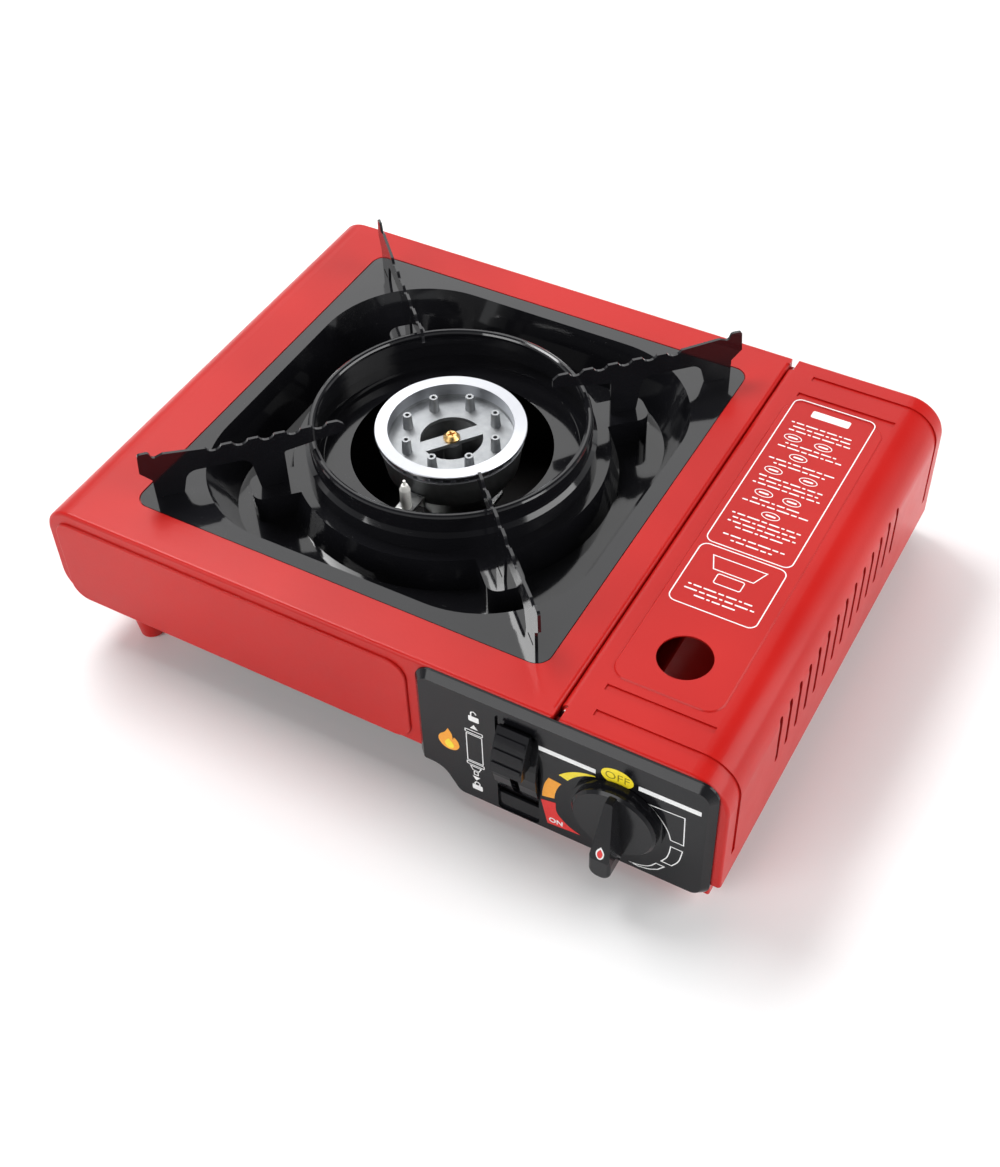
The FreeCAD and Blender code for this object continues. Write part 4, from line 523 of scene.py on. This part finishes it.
def lettering(name, text, x, y, size, material, height, weight):
    """A word drawn flat on the control panel, its middle at a place; size is in millimetres."""
    curve = bpy.data.curves.new(name, "FONT")
    curve.body = text
    curve.size = size
    curve.align_x = "CENTER"
    curve.align_y = "CENTER"
    curve.offset = weight
    curve.resolution_u = 3
    curve.space_character = 1.02
    source = bpy.data.objects.new(name + "_curve", curve)
    bpy.context.scene.collection.objects.link(source)
    graph = bpy.context.evaluated_depsgraph_get()
    flat = bpy.data.meshes.new_from_object(source.evaluated_get(graph))
    bpy.data.objects.remove(source)
    work = bmesh.new()
    work.from_mesh(flat)
    grown = bmesh.ops.extrude_face_region(work, geom=work.faces[:])
    raised = {v for v in grown["geom"] if isinstance(v, bmesh.types.BMVert)}
    for vert in work.verts:
        vert.co = on_panel(x + vert.co.x, y + vert.co.y, height if vert in raised else -height / 3)
    bmesh.ops.recalc_face_normals(work, faces=work.faces)
    work.to_mesh(flat)
    work.free()
    flat.name = name
    piece = bpy.data.objects.new(name, flat)
    bpy.context.scene.collection.objects.link(piece)
    flat.materials.clear()
    flat.materials.append(material)
    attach(piece, "casing")


def soft_light(name, place, target, width, height, power):
    """A large area light that faces a point."""
    data = bpy.data.lights.new(name, "AREA")
    data.shape = "RECTANGLE"
    data.size = width
    data.size_y = height
    data.energy = power
    lamp = bpy.data.objects.new(name, data)
    lamp.location = place
    lamp.rotation_euler = (Vector(target) - Vector(place)).to_track_quat("-Z", "Y").to_euler()
    bpy.context.scene.collection.objects.link(lamp)


class STOVE_OT_stage(bpy.types.Operator):
    """Floor, lights, world and camera"""

    bl_idname = "stove.stage"
    bl_label = "Stage"

    def execute(self, context):
        stage = context.scene.stove_stage
        mesh = bpy.data.meshes.new("studio_floor")
        half = 4.0
        corners = [(-half, -half, 0), (half, -half, 0), (half, half, 0), (-half, half, 0)]
        mesh.from_pydata(corners, [], [(0, 1, 2, 3)])
        floor = bpy.data.objects.new("studio_floor", mesh)
        context.scene.collection.objects.link(floor)
        mesh.materials.append(floor_finish())

        world = bpy.data.worlds.new("studio")
        world.use_nodes = True
        tree = world.node_tree
        glow = tree.nodes["Background"]
        ray = tree.nodes.new("ShaderNodeTexCoord")
        parts = tree.nodes.new("ShaderNodeSeparateXYZ")
        ramp = tree.nodes.new("ShaderNodeMapRange")
        tree.links.new(ray.outputs["Generated"], parts.inputs[0])
        tree.links.new(parts.outputs["Z"], ramp.inputs[0])
        heights = (0.05, 0.75)
        glows = (1.4 * stage.ambient, 0.12 * stage.ambient)
        for socket, number in zip(ramp.inputs[1:5], heights + glows):
            socket.default_value = number
        tree.links.new(ramp.outputs[0], glow.inputs["Strength"])
        glow.inputs["Color"].default_value = (0.97, 0.985, 1.0, 1.0)
        context.scene.world = world
        context.scene.view_settings.view_transform = "Standard"

        aim = (0.0, 0.0, 0.05)
        soft_light("key_light", (-0.9, 0.25, 1.5), aim, 0.9, 0.5, stage.key)
        soft_light("fill_light", (-0.5, -1.5, 0.9), aim, 1.2, 0.7, stage.fill)
        soft_light("side_light", (1.5, 0.35, 0.8), aim, 1.5, 1.1, stage.side)
        soft_light("sheen_light", (-0.62, 1.0, 1.12), aim, 1.7, 1.25, stage.sheen)

        azimuth = stage.azimuth
        elevation = stage.elevation
        level = math.cos(elevation)
        look = Vector((-math.sin(azimuth) * level, math.cos(azimuth) * level, -math.sin(elevation)))
        right = Vector((math.cos(azimuth), math.sin(azimuth), 0.0))
        up = right.cross(look)
        turn = stage.roll
        across = right * math.cos(turn) + up * math.sin(turn)
        rise = up * math.cos(turn) - right * math.sin(turn)
        data = bpy.data.cameras.new("camera")
        data.sensor_fit = "HORIZONTAL"
        data.sensor_width = 36.0
        data.lens = 36.0 * stage.focal / IMAGE_WIDTH
        data.clip_start = 0.01
        camera = bpy.data.objects.new("camera", data)
        facing = Matrix((across, rise, -look)).transposed().to_4x4()
        camera.matrix_world = Matrix.Translation(stage.eye) @ facing
        context.scene.collection.objects.link(camera)
        context.scene.camera = camera
        return {"FINISHED"}


class STOVE_OT_metal(bpy.types.Operator):
    """Finishes of the casing, tray, burner and gas parts"""

    bl_idname = "stove.metal"
    bl_label = "Metal finishes"

    def execute(self, context):
        finish = context.scene.stove_finish
        dress(red_paint(finish), RED_SHEET)
        pan_low, pan_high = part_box("base_pan")
        # Painted shade: the pan's floor inside the burner compartment is coloured near-black, where it lies
        # in shade under the burner and tray.
        shade_under_burner = (
            (pan_low.x, pan_low.y, pan_low.z + 0.4 * MM),
            (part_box("bulkhead")[0].x, pan_high.y, pan_high.z + MM),
        )
        dress(red_paint(finish, "pan_paint", shade_under_burner), ("base_pan",))
        cap_low, cap_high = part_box("front_plate")
        # Painted shade: the front plate behind the lever's channel is coloured near-black where it lies in
        # shade inside the channel.
        shade_behind_lever = (
            (LEFT + 239.0 * MM, cap_low.y, SKIRT - 8.0 * MM),
            (LEFT + 261.0 * MM, cap_high.y, SKIRT + 48.0 * MM),
        )
        dress(red_paint(finish, "cap_paint", shade_behind_lever), ("front_plate",))
        dress(black_enamel(finish), ENAMEL)
        dress(machined_head(finish), ("burner_head",))
        dress(cast_alloy(finish), CAST)
        dress(zinc_steel(finish), ZINC)
        dress(brass(finish), BRASS)
        dress(ceramic(finish), ("igniter_electrode",))
        return {"FINISHED"}


class STOVE_OT_plastic(bpy.types.Operator):
    """Finishes of the panel, dial, lever and spark unit"""

    bl_idname = "stove.plastic"
    bl_label = "Plastic finishes"

    def execute(self, context):
        finish = context.scene.stove_finish
        dress(gloss_plastic(finish), PLASTIC)
        dress(matt_plastic(finish), MATT_PLASTIC)
        return {"FINISHED"}


class STOVE_OT_inks(bpy.types.Operator):
    """Inks of the printed marks"""

    bl_idname = "stove.inks"
    bl_label = "Inks"

    def execute(self, context):
        ink("white_ink", (0.86, 0.86, 0.85), (0.78, 0.78, 0.78))
        ink("yellow_ink", (0.90, 0.72, 0.02), (0.85, 0.66, 0.02))
        ink("orange_ink", (0.90, 0.36, 0.015), (0.84, 0.32, 0.015))
        ink("red_ink", (0.72, 0.014, 0.012), (0.64, 0.012, 0.010))
        ink("olive_ink", (0.30, 0.24, 0.01), (0.25, 0.20, 0.01))
        return {"FINISHED"}


class STOVE_OT_dial_print(bpy.types.Operator):
    """Scale round the dial, with its off mark and bars"""

    bl_idname = "stove.dial_print"
    bl_label = "Dial scale"

    def execute(self, context):
        height = context.scene.stove_finish.print_height
        inks = bpy.data.materials

        def put(name, outer, ink_name, inner=None):
            slab(name, outer, inner, on_panel, inks[ink_name], "casing", height)

        put("scale_yellow", around_dial(161.0, 120.0, (24.8, 21.6), (29.2, 22.1)), "yellow_ink")
        put("scale_orange", around_dial(172.0, 196.0, (26.7, 30.9), (32.7, 37.0)), "orange_ink")
        flank = smooth([(268.1, 7.3), (268.9, 0.4), (274.2, -5.4), (280.0, -8.3)])
        put("scale_red", flank + [(264.2, -9.7), (261.1, 5.7)], "red_ink")
        lettering("word_on", "ON", 268.3, -6.4, 4.3, inks["white_ink"], height * 2, 0.12)
        put("off_oval", ellipse(296.2, 42.9, 7.3, 5.2), "yellow_ink")
        lettering("word_off", "OFF", 296.2, 42.9, 6.4, inks["olive_ink"], height * 2, -0.06)
        put("bar_left", [(260.4, 39.6), (286.5, 39.8), (286.5, 42.5), (260.4, 42.4)], "white_ink")
        put("bar_right", [(305.7, 40.8), (333.1, 41.0), (333.1, 43.8), (305.7, 43.6)], "white_ink")
        rim = smooth([(309.8, 34.6), (315.4, 28.3), (319.2, 22.0), (320.9, 16.2)])
        large = rim + [(327.1, 16.1), (326.6, 35.5)]
        middle = [(321.1, 12.3), (326.9, 12.2)] + smooth([(326.3, 6.5), (324.9, 2.4), (322.5, -1.6)], 4)[1:]
        middle += smooth([(317.2, -1.4), (319.6, 3.0), (320.7, 7.6)], 4)
        small = smooth([(302.8, -11.6), (308.0, -10.6), (312.4, -8.1), (315.3, -4.1)], 4)
        small += [(319.7, -4.2)] + smooth([(316.6, -8.4), (312.4, -11.1), (307.4, -12.4)], 4)
        for name, loop in (("scale_large", large), ("scale_middle", middle), ("scale_small", small)):
            put(name, loop, "white_ink", drawn_in(loop, 0.5))
        return {"FINISHED"}


class STOVE_OT_lever_print(bpy.types.Operator):
    """Cartridge diagram beside the lever, with a lock at each end and a small flame"""

    bl_idname = "stove.lever_print"
    bl_label = "Lever diagram"

    def execute(self, context):
        height = context.scene.stove_finish.print_height
        inks = bpy.data.materials

        def put(name, outer, ink_name, inner=None):
            slab(name, outer, inner, on_panel, inks[ink_name], "casing", height)

        def line(name, loop, width=0.45):
            put(name, loop, "white_ink", drawn_in(loop, width))

        line("can_body", rounded(225.4, 11.4, 233.4, 30.4, 0.5))
        line("can_base", rounded(225.0, 30.9, 233.8, 33.2, 0.5))
        line("can_rim", rounded(225.0, 8.7, 233.8, 10.9, 0.5))
        line("can_shoulder", [(226.4, 8.2), (232.4, 8.2), (231.0, 5.2), (227.8, 5.2)])
        line("can_neck", [(228.2, 4.8), (230.6, 4.8), (230.6, 2.2), (228.2, 2.2)])
        put("arrow_up", [(229.6, 37.4), (227.7, 34.6), (231.5, 34.6)], "white_ink")
        put("arrow_down", [(229.4, -1.6), (227.5, 1.2), (231.3, 1.2)], "white_ink")
        for name, low, swing in (("open", 39.6, 1.9), ("shut", -8.2, 0.0)):
            put("lock_" + name, rounded(227.2, low, 232.2, low + 3.4, 0.5), "white_ink")
            shackle = [(228.2, low + 3.3)] + [
                (229.7 - 1.5 * math.cos(a), low + 4.3 + swing / 2 + 1.5 * math.sin(a))
                for a in [math.pi * step / 10 for step in range(11)]
            ]
            shackle.append((231.2, low + 3.3 + swing))
            ends = (shackle[0], shackle[-1])
            inside = [(229.7 + (x - 229.7) * 0.62, y if (x, y) in ends else y - 0.5) for x, y in shackle]
            put("shackle_" + name, shackle + list(reversed(inside)), "white_ink")
        flame = smooth([
            (216.5, 27.6), (214.8, 24.2), (211.9, 20.8), (211.6, 17.0), (213.8, 14.0), (216.6, 13.2),
            (219.6, 14.1), (221.6, 17.0), (221.2, 20.4), (219.4, 22.6), (218.6, 20.8), (218.2, 24.4),
            (216.5, 27.6),
        ], 5)[:-1]
        put("flame", flame, "orange_ink")
        core = smooth([
            (216.6, 20.6), (214.6, 17.6), (215.2, 15.0), (216.8, 14.3), (218.5, 15.1), (218.9, 17.4),
            (216.6, 20.6),
        ], 5)[:-1]
        slab("flame_core", core, None, on_panel, inks["yellow_ink"], "casing", height * 2)
        return {"FINISHED"}


class STOVE_OT_handle_mark(bpy.types.Operator):
    """Drop-shaped mark on the dial's handle"""

    bl_idname = "stove.handle_mark"
    bl_label = "Handle mark"

    def execute(self, context):
        height = context.scene.stove_finish.print_height
        centre = DIAL[1] - 7.0
        outer = []
        for step in range(28):
            angle = math.tau * step / 28
            narrow = 1.0 - 0.75 * max(0.0, math.sin(angle)) ** 1.6
            outer.append((DIAL[0] + 1.9 * math.cos(angle) * narrow, centre + 3.3 * math.sin(angle)))
        inner = [(DIAL[0] + (x - DIAL[0]) * 0.66, centre - 0.2 + (y - centre) * 0.7) for x, y in outer]
        inks = bpy.data.materials
        slab("mark_rim", outer, None, on_handle, inks["white_ink"], "knob", height)
        slab("mark_drop", inner, None, on_handle, inks["red_ink"], "knob", height * 2)
        return {"FINISHED"}


class STOVE_OT_lid_print(bpy.types.Operator):
    """White frame on the lid with two fields of plain bars"""

    bl_idname = "stove.lid_print"
    bl_label = "Lid print"

    def execute(self, context):
        height = context.scene.stove_finish.print_height
        white = bpy.data.materials["white_ink"]

        def put(name, outer, inner=None):
            slab(name, outer, inner, on_lid, white, "lid", height)

        for name, low, high in (("near", 80.0, 118.2), ("far", 119.4, 226.6)):
            loop = rounded(277.0, low, 318.0, high, 4.0)
            put("frame_" + name, loop, drawn_in(loop, 0.55))
        put("heading", rounded(288.0, 216.6, 307.0, 221.4, 1.0))
        rows = (
            (209.4, 16.0), (206.6, 14.2), (203.8, 15.2), (194.2, 13.0), (191.4, 15.6), (181.8, 16.0),
            (179.0, 12.6), (169.0, 15.4), (166.2, 14.4), (163.4, 16.2), (153.4, 12.2), (150.6, 15.8),
            (140.8, 16.4), (138.0, 15.0), (135.2, 16.2), (132.4, 11.4), (126.6, 14.6), (123.8, 9.8),
            (92.0, 15.6), (89.2, 16.2), (86.4, 10.4),
        )
        number = 0
        for along, half in rows:
            start = 297.5 - half
            while start < 297.5 + half - 1.5:
                length = 1.6 + 1.1 * (number * 7 % 5)
                end = min(start + length, 297.5 + half)
                put("row_%03d" % number, rounded(start, along, end, along + 0.75, 0.3, 2))
                start = end + 0.9
                number += 1
        places = (
            (286.5, 199.0), (301.5, 199.0), (294.0, 187.0), (287.0, 174.4), (304.0, 174.4), (289.0, 158.4),
            (302.5, 158.4), (297.5, 146.0),
        )
        for number, (across, along) in enumerate(places):
            loop = ellipse(across, along, 4.4, 2.4, 24)
            put("oval_%d" % number, loop, drawn_in(loop, 0.4))
            put("oval_bar_%d" % number, rounded(across - 2.4, along - 0.5, across + 2.4, along + 0.5, 0.4, 2))
        pan = [(284.5, 112.8), (310.5, 112.8), (307.0, 104.6), (288.0, 104.6)]
        put("pan_outline", pan, drawn_in(pan, 0.5))
        stand = rounded(291.0, 97.0, 304.0, 103.4, 1.2)
        put("burner_outline", stand, drawn_in(stand, 0.5))
        return {"FINISHED"}


STEPS = (
    STOVE_OT_stage, STOVE_OT_metal, STOVE_OT_plastic, STOVE_OT_inks, STOVE_OT_dial_print,
    STOVE_OT_lever_print, STOVE_OT_handle_mark, STOVE_OT_lid_print,
)


class STOVE_PT_looks(bpy.types.Panel):
    """Settings and steps of the stove's looks"""

    bl_idname = "STOVE_PT_looks"
    bl_label = "Cartridge stove"
    bl_space_type = "VIEW_3D"
    bl_region_type = "UI"
    bl_category = "Stove"

    def draw(self, context):
        layout = self.layout
        for group in (context.scene.stove_stage, context.scene.stove_finish):
            for key in group.__annotations__:
                layout.prop(group, key)
        for step in STEPS:
            layout.operator(step.bl_idname)


CLASSES = (StoveStage, StoveFinish) + STEPS + (STOVE_PT_looks,)


def register():
    """Make the settings, steps and panel known."""
    for part in CLASSES:
        bpy.utils.register_class(part)
    bpy.types.Scene.stove_stage = PointerProperty(type=StoveStage)
    bpy.types.Scene.stove_finish = PointerProperty(type=StoveFinish)


def unregister():
    """Take them away again."""
    del bpy.types.Scene.stove_finish
    del bpy.types.Scene.stove_stage
    for part in reversed(CLASSES):
        bpy.utils.unregister_class(part)


def main():
    """Run every step in turn."""
    register()
    bpy.ops.stove.stage()
    bpy.ops.stove.metal()
    bpy.ops.stove.plastic()
    bpy.ops.stove.inks()
    bpy.ops.stove.dial_print()
    bpy.ops.stove.lever_print()
    bpy.ops.stove.handle_mark()
    bpy.ops.stove.lid_print()


if __name__ == "__main__":
    main()
